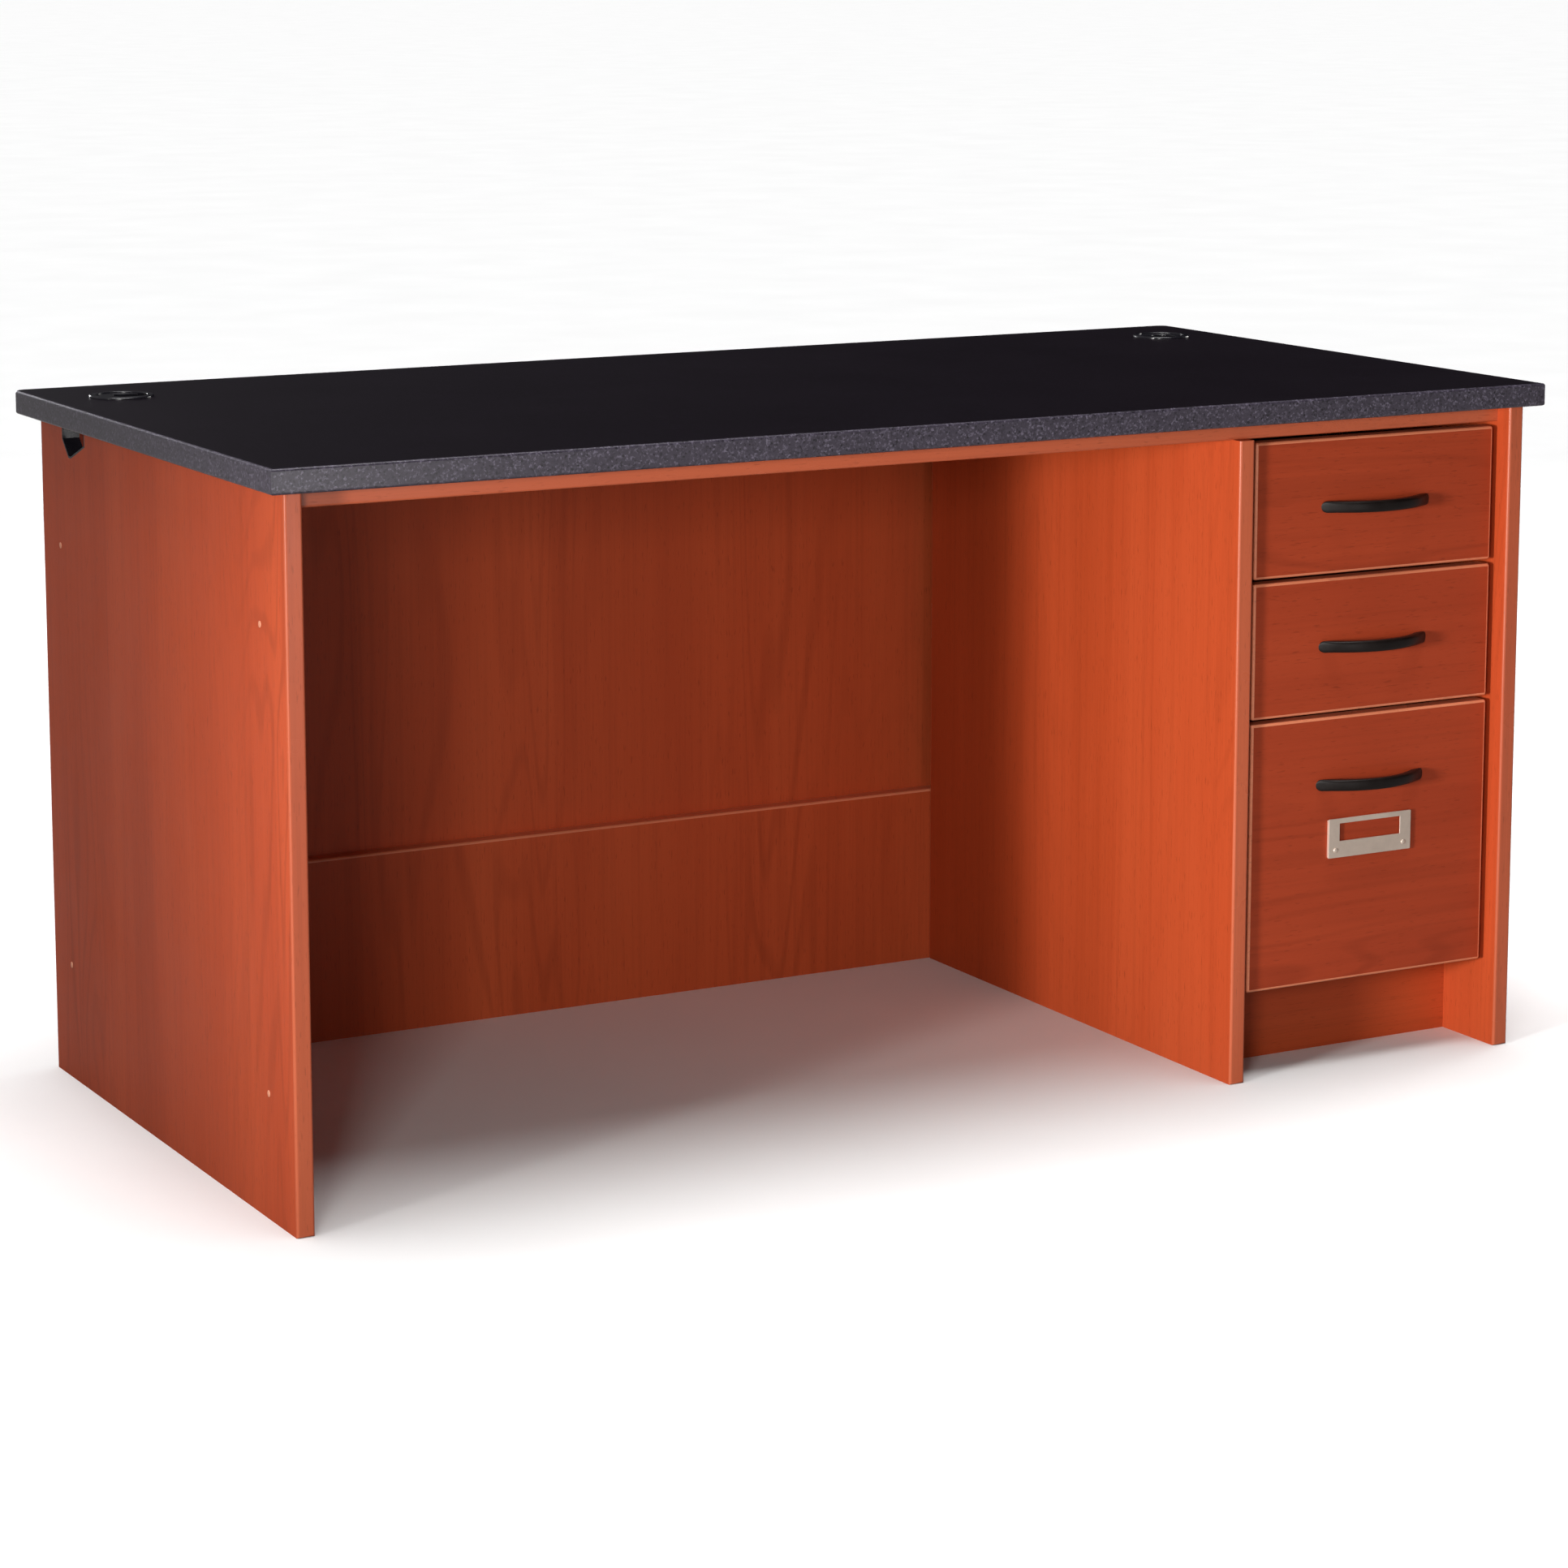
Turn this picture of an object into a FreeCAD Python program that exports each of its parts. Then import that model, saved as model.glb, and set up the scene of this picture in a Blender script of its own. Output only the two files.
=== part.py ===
import FreeCAD, Part
import os
import re
import Sketcher

# Teacher desk: laminated worktop on two end panels, a knee space closed at the back by
# two modesty panels, and a right-hand pedestal with two box drawers over a file drawer.
# Millimetres. +X is the user's right, the drawers face -Y, +Z is up.
# The origin is on the floor, at the centre of the worktop's outline.

DIMENSIONS = {
    # worktop
    "top_width": 1524,
    "top_depth": 762,
    "desk_height": 762,
    "top_thick": 25.4,
    "top_band": 3,
    "rear_corner_radius": 14,
    "side_overhang": 18,
    "front_overhang": 14,
    "rear_overhang": 40,
    # boards and their edge bands
    "board": 19,
    "band": 3,
    "band_round": 2.6,
    # carcass
    "pedestal_opening": 339,
    "inner_set_back": 10,
    "inner_rear_gap": 46,
    "rail_depth": 95,
    "rail_set_back": 22,
    "back_inset": 8,
    "lower_modesty_top": 214,
    "modesty_overlap": 24,
    "kick_height": 79,
    "kick_set_back": 94,
    # cable port in the left end panel, under the worktop
    "port_rear_in": 71,
    "port_width": 72,
    "port_front_cheek": 19.6,
    "port_rear_cheek": 18,
    "port_depth": 36.6,
    "port_floor": 8,
    "port_floor_in": 19,
    "port_liner": 2,
    # plugs over the fixing holes of the end panels
    "plug_hole_radius": 2.5,
    "plug_cap_radius": 3.4,
    "plug_cap_thick": 0.8,
    "plug_shank": 9,
    "plug_front_in": 68,
    "plug_rear_in": 57,
    "plug_low": 130,
    "plug_high": 600,
    # cable grommets
    "grommet_side_in": 84,
    "grommet_rear_in": 119,
    "grommet_hole_radius": 30,
    "grommet_flange_radius": 35,
    "grommet_flange_thick": 2.4,
    "grommet_flange_round": 1.1,
    "sleeve_bore_radius": 27.6,
    "sleeve_drop": 34,
    "cap_radius": 27.2,
    "cap_thick": 3,
    "cap_round": 0.75,
    "cap_sunk": 1.2,
    "cap_slot_radius": 13,
    "cap_slot_offset": 2,
    "cap_skirt_radius": 25,
    "cap_skirt_thick": 1.5,
    "cap_skirt_drop": 9,
    # drawers
    "front_set_back": 19,
    "front_width": 323,
    "front_corner_round": 3,
    "small_front": 151,
    "file_front": 302,
    "top_gap": 4.6,
    "front_gap": 5,
    "box_side": 13,
    "box_length": 500,
    "small_box_height": 100,
    "file_box_height": 240,
    "box_raise": 16,
    "bottom_thick": 5,
    "bottom_raise": 12,
    "bottom_groove": 6,
    # drawer slides
    "slide_thick": 12.7,
    "slide_length": 490,
    "slide_steel": 1.2,
    "slide_outer_reach": 9.5,
    "slide_middle_start": 2.4,
    "slide_middle_reach": 11.1,
    "slide_inner_start": 4.8,
    "slide_outer_half": 22.5,
    "slide_middle_half": 17.5,
    "slide_inner_half": 12.5,
    "slide_lift": 42,
    "slide_screw_radius": 2,
    "slide_screw_length": 13,
    "slide_screw_spread": 180,
    # bow pulls
    "pull_length": 147,
    "pull_height": 13,
    "pull_reach": 27,
    "pull_clear": 19,
    "pull_inner_length": 112,
    "pull_centres": 128,
    "pull_drop": 76,
    "pull_round": 3,
    "pull_screw_radius": 2,
    "pull_screw_bite": 3,
    "pull_screw_head_radius": 4.5,
    "pull_screw_head": 2.4,
    # label holder on the file drawer
    "label_width": 113,
    "label_height": 44.5,
    "label_drop": 116,
    "label_steel": 1,
    "label_stand_off": 2,
    "label_window_width": 83,
    "label_window_height": 20,
    "label_window_low": 18.7,
    "label_pin_in": 10,
    "label_pin_low": 8.6,
    "label_pin_radius": 1.5,
    "label_pin_head_radius": 3,
    "label_pin_head": 1.2,
    "label_pin_bite": 9,
    # hanging-file rails
    "hang_rail_height": 14,
    "hang_rail_thick": 2,
    "hang_rail_spacing": 330,
    "hang_rail_front_in": 60,
    # fixings
    "cam_radius": 7.5,
    "cam_thick": 13.5,
    "cam_in": 34,
    "cam_bolt_radius": 3,
    "cam_bolt_bite": 11,
    "cam_edge_in": 60,
    "bracket_leg": 32,
    "bracket_width": 24,
    "bracket_steel": 2,
    "bracket_screw_radius": 2,
    "bracket_screw_length": 14,
    "bracket_screw_head_radius": 3.8,
    "bracket_screw_head": 1.8,
}

document = FreeCAD.newDocument("TeacherDesk")
sheet = document.addObject("Spreadsheet::Sheet", "Dims")
for row, (alias, number) in enumerate(DIMENSIONS.items(), start=1):
    sheet.set(f"A{row}", alias)
    sheet.set(f"B{row}", str(number))
    sheet.setAlias(f"B{row}", alias)
document.recompute()

ALIAS = re.compile(r"\b(" + "|".join(DIMENSIONS) + r")\b")
nodes = []


def bound(formula):
    """The formula as other objects read it, with each dimension taken from the sheet."""
    return ALIAS.sub(r"Dims.\1", str(formula))


def value(formula):
    """The formula's number at the sheet's present values."""
    return float(document.Dims.evalExpression(str(formula)))


def place(thing, position):
    for axis, formula in zip("xyz", position):
        thing.setExpression(f"Placement.Base.{axis}", bound(formula))


def keep(thing, label):
    """Names a finished sub-part; its label is its node and its file."""
    thing.Label = label
    nodes.append(thing)
    return thing


# ---------------------------------------------------------------- sketches and bodies

def body_at(name, position):
    body = document.addObject("PartDesign::Body", name)
    place(body, position)
    return body


def sketch_on(body, role, offset=0):
    """A sketch on one of the body's own origin planes, moved off it along the normal."""
    sketch = body.newObject("Sketcher::SketchObject", body.Name + "_sketch")
    plane = [part for part in body.Origin.OriginFeatures if part.Role == role][0]
    sketch.AttachmentSupport = [(plane, "")]
    sketch.MapMode = "FlatFace"
    if offset:
        sketch.setExpression("AttachmentOffset.Base.z", bound(offset))
    return sketch


def fix_point(sketch, element, end, u, v):
    """Holds one point of the sketch at the distances u and v from the body's origin."""
    for kind, axis, formula in (("DistanceX", -2, u), ("DistanceY", -1, v)):
        if value(formula) == 0:
            sketch.addConstraint(Sketcher.Constraint("PointOnObject", element, end, axis))
            continue
        index = sketch.addConstraint(
            Sketcher.Constraint(kind, -1, 1, element, end, value(formula)))
        sketch.setExpression(f"Constraints[{index}]", bound(formula))


def draw_polygon(sketch, corners):
    first = sketch.GeometryCount
    points = [point_at(u, v) for u, v in corners]
    count = len(points)
    for index in range(count):
        line = Part.LineSegment(points[index], points[(index + 1) % count])
        sketch.addGeometry(line, False)
    for index in range(count):
        following = first + (index + 1) % count
        sketch.addConstraint(Sketcher.Constraint("Coincident", first + index, 2, following, 1))
        fix_point(sketch, first + index, 1, *corners[index])


def draw_rectangle(sketch, u, v, width, height):
    right = f"{u} + {width}"
    top = f"{v} + {height}"
    draw_polygon(sketch, [(u, v), (right, v), (right, top), (u, top)])


def point_at(u, v):
    return FreeCAD.Vector(value(u), value(v), 0)


def draw_arc(sketch, start, through, finish, radius):
    """An anticlockwise arc held by its two ends and its radius."""
    arc = sketch.addGeometry(Part.Arc(point_at(*start), point_at(*through), point_at(*finish)),
                             False)
    fix_point(sketch, arc, 1, *start)
    fix_point(sketch, arc, 2, *finish)
    index = sketch.addConstraint(Sketcher.Constraint("Radius", arc, value(radius)))
    sketch.setExpression(f"Constraints[{index}]", bound(radius))
    return arc


def draw_link(sketch, one, one_end, two, two_end, start, finish):
    """A straight line between an end of one drawn piece and an end of another."""
    line = sketch.addGeometry(Part.LineSegment(point_at(*start), point_at(*finish)), False)
    sketch.addConstraint(Sketcher.Constraint("Coincident", line, 1, one, one_end))
    sketch.addConstraint(Sketcher.Constraint("Coincident", line, 2, two, two_end))
    return line


def draw_circle(sketch, u, v, radius):
    upward = FreeCAD.Vector(0, 0, 1)
    circle = sketch.addGeometry(Part.Circle(point_at(u, v), upward, value(radius)), False)
    fix_point(sketch, circle, 3, u, v)
    index = sketch.addConstraint(Sketcher.Constraint("Radius", circle, value(radius)))
    sketch.setExpression(f"Constraints[{index}]", bound(radius))


def pad(body, sketch, length, reverse=False):
    feature = body.newObject("PartDesign::Pad", body.Name + "_pad")
    feature.Profile = sketch
    feature.setExpression("Length", bound(length))
    feature.Reversed = reverse
    sketch.Visibility = False
    document.recompute()
    return feature


def pocket(body, sketch, length, reverse=False):
    """Cuts the sketch into the body and makes sure that it took something away."""
    before = body.Tip.Shape.Volume
    feature = body.newObject("PartDesign::Pocket", body.Name + "_pocket")
    feature.Profile = sketch
    feature.setExpression("Length", bound(length))
    feature.Reversed = reverse
    document.recompute()
    if not feature.Shape.Volume < before:
        raise RuntimeError(f"{body.Name}: a pocket cut nothing")
    return feature


def round_edges(body, radius, wanted):
    """Fillets the edges of the body's tip whose ends and middle pass the test."""
    base = body.Tip
    chosen = []
    for number, edge in enumerate(base.Shape.Edges, start=1):
        if wanted(edge):
            chosen.append(f"Edge{number}")
    feature = body.newObject("PartDesign::Fillet", body.Name + "_fillet")
    feature.Base = (base, chosen)
    feature.setExpression("Radius", bound(radius))
    document.recompute()
    if feature.Shape.isNull():
        raise RuntimeError(f"{body.Name}: a fillet failed on {chosen}")
    return feature


def middle(edge):
    return edge.valueAt((edge.FirstParameter + edge.LastParameter) / 2)


def along(edge, axis):
    """True for a straight edge parallel to the axis given as 0, 1 or 2."""
    if not isinstance(edge.Curve, (Part.Line, Part.LineSegment)):
        return False
    direction = edge.valueAt(edge.LastParameter) - edge.valueAt(edge.FirstParameter)
    return abs(abs(direction[axis]) - direction.Length) < 1e-6


def near(number, formula):
    return abs(number - value(formula)) < 1e-4


def block(name, position, size):
    """A square-edged board whose lowest corner is at the position."""
    body = body_at(name, position)
    sketch = sketch_on(body, "XY_Plane")
    draw_rectangle(sketch, "0", "0", size[0], size[1])
    pad(body, sketch, size[2])
    return body


# ------------------------------------------------------- round tools in the desk's frame

TURN = {
    "x": FreeCAD.Rotation(FreeCAD.Vector(0, 1, 0), 90),
    "y": FreeCAD.Rotation(FreeCAD.Vector(1, 0, 0), -90),
    "z": FreeCAD.Rotation(),
}


def rod(name, axis, position, radius, length):
    """A cylinder that starts at the position and runs up the axis."""
    cylinder = document.addObject("Part::Cylinder", name)
    cylinder.setExpression("Radius", bound(radius))
    cylinder.setExpression("Height", bound(length))
    cylinder.Placement.Rotation = TURN[axis]
    place(cylinder, position)
    return cylinder


def joined(name, pieces):
    fuse = document.addObject("Part::MultiFuse", name)
    fuse.Shapes = pieces
    return fuse


def group(label, pieces):
    """Separate solids that share one node."""
    compound = document.addObject("Part::Compound", label)
    compound.Links = pieces
    return keep(compound, label)


def drilled(label, base, tools):
    """The base with every tool taken out of it."""
    cut = document.addObject("Part::Cut", label)
    base.Label = label + "_blank"
    cut.Base = base
    cut.Tool = joined(label + "_tools", tools) if len(tools) > 1 else tools[0]
    return keep(cut, label)


def mirrored(name, source, plane_x):
    """The source reflected in the plane x = plane_x."""
    mirror = document.addObject("Part::Mirroring", name)
    mirror.Source = source
    mirror.Normal = FreeCAD.Vector(1, 0, 0)
    mirror.setExpression("Base.x", bound(plane_x))
    return mirror


# -------------------------------------------------------------- main planes of the desk

LEFT_FACE = "(side_overhang - top_width / 2)"
RIGHT_FACE = "(top_width / 2 - side_overhang)"
FRONT_FACE = "(front_overhang - top_depth / 2)"
REAR_FACE = "(top_depth / 2 - rear_overhang)"
UNDER_TOP = "(desk_height - top_thick)"

LEFT_INSIDE = f"({LEFT_FACE} + board)"
RIGHT_INSIDE = f"({RIGHT_FACE} - board)"
CLEAR_WIDTH = f"({RIGHT_INSIDE} - {LEFT_INSIDE})"
PANEL_DEPTH = f"({REAR_FACE} - {FRONT_FACE})"

BAY_LEFT = f"({RIGHT_INSIDE} - pedestal_opening)"
BAY_MIDDLE = f"({RIGHT_INSIDE} - pedestal_opening / 2)"
INNER_FACE = f"({BAY_LEFT} - board)"
INNER_FRONT = f"({FRONT_FACE} + inner_set_back)"
INNER_REAR = f"({REAR_FACE} - inner_rear_gap)"

UPPER_MODESTY_FRONT = f"({REAR_FACE} - back_inset - board)"
LOWER_MODESTY_FRONT = f"({UPPER_MODESTY_FRONT} - board)"
UPPER_MODESTY_BOTTOM = "(lower_modesty_top - modesty_overlap)"

RAIL_FRONT = f"({FRONT_FACE} + rail_set_back)"
RAIL_BOTTOM = f"({UNDER_TOP} - board)"

KICK_FRONT = f"({FRONT_FACE} + kick_set_back)"

GROMMET_X = "(top_width / 2 - grommet_side_in)"
GROMMET_Y = "(top_depth / 2 - grommet_rear_in)"


# --------------------------------------------------------------------------- worktop

def top_outline(name, inset):
    """The worktop's outline, drawn in by the inset, with its rear corners rounded."""
    body = body_at(name, (f"{inset} - top_width / 2", f"{inset} - top_depth / 2", UNDER_TOP))
    sketch = sketch_on(body, "XY_Plane")
    draw_rectangle(sketch, "0", "0", f"top_width - 2 * {inset}", f"top_depth - 2 * {inset}")
    pad(body, sketch, "top_thick")
    rear = f"top_depth - 2 * {inset}"
    round_edges(body, f"rear_corner_radius - {inset}",
                lambda edge: along(edge, 2) and near(middle(edge).y, rear))
    return body


def worktop():
    panel = top_outline("worktop_core", "top_band")
    holes = [rod("grommet_hole", "z", (f"{side} * {GROMMET_X}", GROMMET_Y, UNDER_TOP),
                 "grommet_hole_radius", "top_thick") for side in (-1, 1)]
    drilled("worktop_panel", panel, holes + bracket_screw_bores("worktop"))

    front = block("worktop_band_front",
                  ("-top_width / 2", "-top_depth / 2", UNDER_TOP),
                  ("top_width", "top_band", "top_thick"))
    round_edges(front, "band_round",
                lambda edge: level_end(edge) and not near(middle(edge).y, "top_band"))
    keep(front, "worktop_band_front")

    wrap = top_outline("worktop_band_wrap", "0")
    ends = sketch_on(wrap, "XY_Plane")
    draw_rectangle(ends, "0", "0", "top_width", "top_band")
    pocket(wrap, ends, "top_thick", reverse=True)
    core = sketch_on(wrap, "XY_Plane")
    draw_core_outline(core)
    pocket(wrap, core, "top_thick", reverse=True)
    round_edges(wrap, "band_round", outer_rim)
    keep(wrap, "worktop_band_wrap")


def draw_core_outline(sketch):
    """The core's outline as the wrapped band meets it, with its rear corners as arcs."""
    west, east = "top_band", "(top_width - top_band)"
    south, north = "top_band", "(top_depth - top_band)"
    radius = "(rear_corner_radius - top_band)"
    nip = f"{radius} * (1 - sqrt(2) / 2)"
    east_start, east_finish = (east, f"{north} - {radius}"), (f"{east} - {radius}", north)
    west_start, west_finish = (f"{west} + {radius}", north), (west, f"{north} - {radius}")
    right = draw_arc(sketch, east_start, (f"{east} - {nip}", f"{north} - {nip}"), east_finish,
                     radius)
    left = draw_arc(sketch, west_start, (f"{west} + {nip}", f"{north} - {nip}"), west_finish,
                    radius)
    draw_link(sketch, right, 2, left, 1, east_finish, west_start)
    front = sketch.addGeometry(Part.LineSegment(point_at(west, south), point_at(east, south)),
                               False)
    fix_point(sketch, front, 1, west, south)
    fix_point(sketch, front, 2, east, south)
    draw_link(sketch, left, 2, front, 1, west_finish, (west, south))
    draw_link(sketch, front, 2, right, 1, (east, south), east_start)


def level_end(edge):
    """True for an edge in the worktop's upper or lower surface, in a band's own frame."""
    return near(middle(edge).z, "0") or near(middle(edge).z, "top_thick")


def outer_rim(edge):
    """The upper and lower edges of the wrapped band that face away from the core."""
    if not level_end(edge):
        return False
    if isinstance(edge.Curve, Part.Circle):
        return near(edge.Curve.Radius, "rear_corner_radius")
    point = middle(edge)
    return near(point.x, "0") or near(point.x, "top_width") or near(point.y, "top_depth")


# ------------------------------------------------------------------------ end panels

def port_corners(inset):
    """The cable port's outline in the end panel's top edge, drawn in by the inset.

    Seen from outside it has upright cheeks over a lopsided V-shaped floor."""
    rear = f"{PANEL_DEPTH} - band - port_rear_in"
    front = f"{rear} - port_width"
    floor = f"{UNDER_TOP} - port_depth + {inset}"
    front_run = "(port_width - port_floor_in - port_floor)"
    front_slope = f"atan((port_depth - port_front_cheek) / {front_run})"
    rear_slope = "atan((port_depth - port_rear_cheek) / port_floor_in)"
    front_rise = f"{inset} * tan(45 deg - {front_slope} / 2)"
    rear_rise = f"{inset} * tan(45 deg - {rear_slope} / 2)"
    return [
        (f"{front} + {inset}", UNDER_TOP),
        (f"{front} + {inset}", f"{UNDER_TOP} - port_front_cheek + {front_rise}"),
        (f"{front} + {front_run} + {inset} * tan({front_slope} / 2)", floor),
        (f"{rear} - port_floor_in - {inset} * tan({rear_slope} / 2)", floor),
        (f"{rear} - {inset}", f"{UNDER_TOP} - port_rear_cheek + {rear_rise}"),
        (f"{rear} - {inset}", UNDER_TOP),
    ]


def plug_places():
    for y in (f"{FRONT_FACE} + plug_front_in", f"{REAR_FACE} - plug_rear_in"):
        for z in ("plug_low", "plug_high"):
            yield y, z


def end_panel(side, outside, with_port):
    """The board of one end panel, its front and rear bands kept as one node."""
    body = body_at(f"{side}_end_panel_body", (outside, f"{FRONT_FACE} + band", "0"))
    sketch = sketch_on(body, "YZ_Plane")
    depth = f"{PANEL_DEPTH} - 2 * band"
    corners = [("0", "0"), (depth, "0"), (depth, UNDER_TOP)]
    if with_port:
        corners += reversed(port_corners("0"))
    corners.append(("0", UNDER_TOP))
    draw_polygon(sketch, corners)
    pad(body, sketch, "board")
    bores = [rod(f"{side}_plug_bore", "x", (outside, y, z), "plug_hole_radius", "board")
             for y, z in plug_places()]
    bores += cam_bolt_bores(side)
    bores += bracket_screw_bores(side)
    if side == "right":
        bores += slide_screw_rods("right")
    drilled(f"{side}_end_panel", body, bores)
    group(f"{side}_end_bands", [
        upright_band(f"{side}_end_band_front", outside, FRONT_FACE, UNDER_TOP, True),
        upright_band(f"{side}_end_band_rear", outside, f"{REAR_FACE} - band", UNDER_TOP, False),
    ])


def upright_band(name, x, y, height, faces_front):
    """A band on an upright edge, with both of its outer arrises rounded."""
    band = block(name, (x, y, "0"), ("board", "band", height))
    outer = "0" if faces_front else "band"
    round_edges(band, "band_round",
                lambda edge: along(edge, 2) and near(middle(edge).y, outer))
    return band


def cable_port_liner():
    """Black plastic lining of the cable port, flush with both faces of the panel."""
    liner = body_at("cable_port_liner", (LEFT_FACE, f"{FRONT_FACE} + band", "0"))
    sketch = sketch_on(liner, "YZ_Plane")
    outer = port_corners("0")
    inner = port_corners("port_liner")
    draw_polygon(sketch, outer + list(reversed(inner)))
    pad(liner, sketch, "board")
    keep(liner, "cable_port_liner")


def end_panel_plugs():
    """Plugs that close the fixing holes on the outside of both end panels."""
    plugs = []
    for outside, cap_start, shank_start in (
            (LEFT_FACE, f"{LEFT_FACE} - plug_cap_thick", LEFT_FACE),
            (RIGHT_FACE, RIGHT_FACE, f"{RIGHT_FACE} - plug_shank")):
        for y, z in plug_places():
            cap = rod("plug_cap", "x", (cap_start, y, z), "plug_cap_radius", "plug_cap_thick")
            shank = rod("plug_shank_part", "x", (shank_start, y, z), "plug_hole_radius",
                        "plug_shank")
            plugs.append(joined("plug", [cap, shank]))
    group("end_panel_plugs", plugs)


# --------------------------------------------------------- pedestal and knee-space boards

def pedestal_inner_panel():
    """The upright between knee space and drawers, cut back at the top for the rail."""
    body = body_at("inner_panel_body", (INNER_FACE, f"{INNER_FRONT} + band", "0"))
    sketch = sketch_on(body, "YZ_Plane")
    depth = f"({INNER_REAR} - {INNER_FRONT} - 2 * band)"
    step = f"({RAIL_FRONT} + rail_depth - {INNER_FRONT} - band)"
    draw_polygon(sketch, [("0", "0"), (depth, "0"), (depth, UNDER_TOP), (step, UNDER_TOP),
                          (step, RAIL_BOTTOM), ("0", RAIL_BOTTOM)])
    pad(body, sketch, "board")
    bores = cam_bolt_bores("inner") + slide_screw_rods("left")
    bores += bracket_screw_bores("inner")
    drilled("pedestal_inner_panel", body, bores)
    group("pedestal_inner_bands", [
        upright_band("inner_band_front", INNER_FACE, INNER_FRONT, RAIL_BOTTOM, True),
        upright_band("inner_band_rear", INNER_FACE, f"{INNER_REAR} - band", UNDER_TOP, False),
    ])


def front_rail():
    """The flat stretcher under the worktop's front edge, with a banded front edge."""
    rail = block("front_rail_body", (LEFT_INSIDE, f"{RAIL_FRONT} + band", RAIL_BOTTOM),
                 (CLEAR_WIDTH, "rail_depth - band", "board"))
    drilled("front_rail", rail, cam_bores("rail"))
    band = block("front_rail_band", (LEFT_INSIDE, RAIL_FRONT, RAIL_BOTTOM),
                 (CLEAR_WIDTH, "band", "board"))
    round_edges(band, "band_round",
                lambda edge: along(edge, 0) and near(middle(edge).y, "0"))
    keep(band, "front_rail_band")


def modesty_panels():
    upper = block("upper_modesty_body", (LEFT_INSIDE, UPPER_MODESTY_FRONT, UPPER_MODESTY_BOTTOM),
                  (CLEAR_WIDTH, "board", f"{UNDER_TOP} - {UPPER_MODESTY_BOTTOM}"))
    drilled("upper_modesty_panel", upper, cam_bores("upper"))
    lower = block("lower_modesty_body", (LEFT_INSIDE, LOWER_MODESTY_FRONT, "0"),
                  (CLEAR_WIDTH, "board", "lower_modesty_top - band"))
    drilled("lower_modesty_panel", lower, cam_bores("lower"))
    band = block("lower_modesty_band", (LEFT_INSIDE, LOWER_MODESTY_FRONT,
                                        "lower_modesty_top - band"),
                 (CLEAR_WIDTH, "board", "band"))
    round_edges(band, "band_round",
                lambda edge: along(edge, 0) and near(middle(edge).z, "band")
                and near(middle(edge).y, "0"))
    keep(band, "lower_modesty_band")


def pedestal_floor():
    kick = block("kick_body", (BAY_LEFT, KICK_FRONT, "0"),
                 ("pedestal_opening", "board", "kick_height"))
    drilled("kick_panel", kick, cam_bores("kick"))
    bottom = block("pedestal_bottom_panel", (BAY_LEFT, KICK_FRONT, "kick_height"),
                   ("pedestal_opening", f"{LOWER_MODESTY_FRONT} - {KICK_FRONT}", "board"))
    keep(bottom, "pedestal_bottom_panel")


# ---------------------------------------------------------------------- panel fixings

def cam_places():
    """Each cam joint as (board, end, y or None, z or None, which way its cam is bored)."""
    modesty_low = f"({UPPER_MODESTY_BOTTOM} + cam_edge_in)"
    modesty_high = f"({UNDER_TOP} - cam_edge_in)"
    upper_y = f"({UPPER_MODESTY_FRONT} + board / 2)"
    lower_y = f"({LOWER_MODESTY_FRONT} + board / 2)"
    rail_z = f"({RAIL_BOTTOM} + board / 2)"
    kick_y = f"({KICK_FRONT} + board / 2)"
    for end in ("left", "right"):
        yield "upper", end, upper_y, modesty_low
        yield "upper", end, upper_y, modesty_high
        yield "lower", end, lower_y, "(cam_edge_in / 2)"
        yield "lower", end, lower_y, "(lower_modesty_top - cam_edge_in)"
        yield "rail", end, f"({RAIL_FRONT} + rail_depth / 2)", rail_z
        yield "kick", "inner" if end == "left" else end, kick_y, "(kick_height / 2)"


BOARD_END = {"left": LEFT_INSIDE, "right": RIGHT_INSIDE, "inner": BAY_LEFT}


def bolt_rod(name, end, y, z):
    """A cam bolt, from its thread in the upright to its head inside the cam."""
    reach = "cam_bolt_bite + cam_in"
    start = f"{BOARD_END[end]} - cam_bolt_bite"
    if end == "right":
        start = f"{RIGHT_INSIDE} - cam_in"
    return rod(name, "x", (start, y, z), "cam_bolt_radius", reach)


def cam_rod(name, board, end, y, z):
    """The cam itself, sunk in the hidden face of the board."""
    inward = "-" if end == "right" else "+"
    x = f"{BOARD_END[end]} {inward} cam_in"
    if board == "rail":
        return rod(name, "z", (x, y, RAIL_BOTTOM), "cam_radius", "cam_thick")
    rear = f"{y} + board / 2 - cam_thick"
    return rod(name, "y", (x, rear, z), "cam_radius", "cam_thick")


def cam_bores(board):
    tools = []
    for owner, end, y, z in cam_places():
        if owner == board:
            tools.append(cam_rod(f"{board}_cam_bore", board, end, y, z))
            tools.append(bolt_rod(f"{board}_bolt_bore", end, y, z))
    return tools


def cam_bolt_bores(upright):
    return [bolt_rod(f"{upright}_bolt_bore", end, y, z)
            for board, end, y, z in cam_places() if end == upright]


def cam_fixings():
    cams = [cam_rod("cam", board, end, y, z) for board, end, y, z in cam_places()]
    bolts = []
    for board, end, y, z in cam_places():
        trimmed = document.addObject("Part::Cut", "cam_bolt")
        trimmed.Base = bolt_rod("cam_bolt_rod", end, y, z)
        trimmed.Tool = cam_rod("cam_bolt_seat", board, end, y, z)
        bolts.append(trimmed)
    group("cam_locks", cams)
    group("cam_bolts", bolts)


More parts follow.
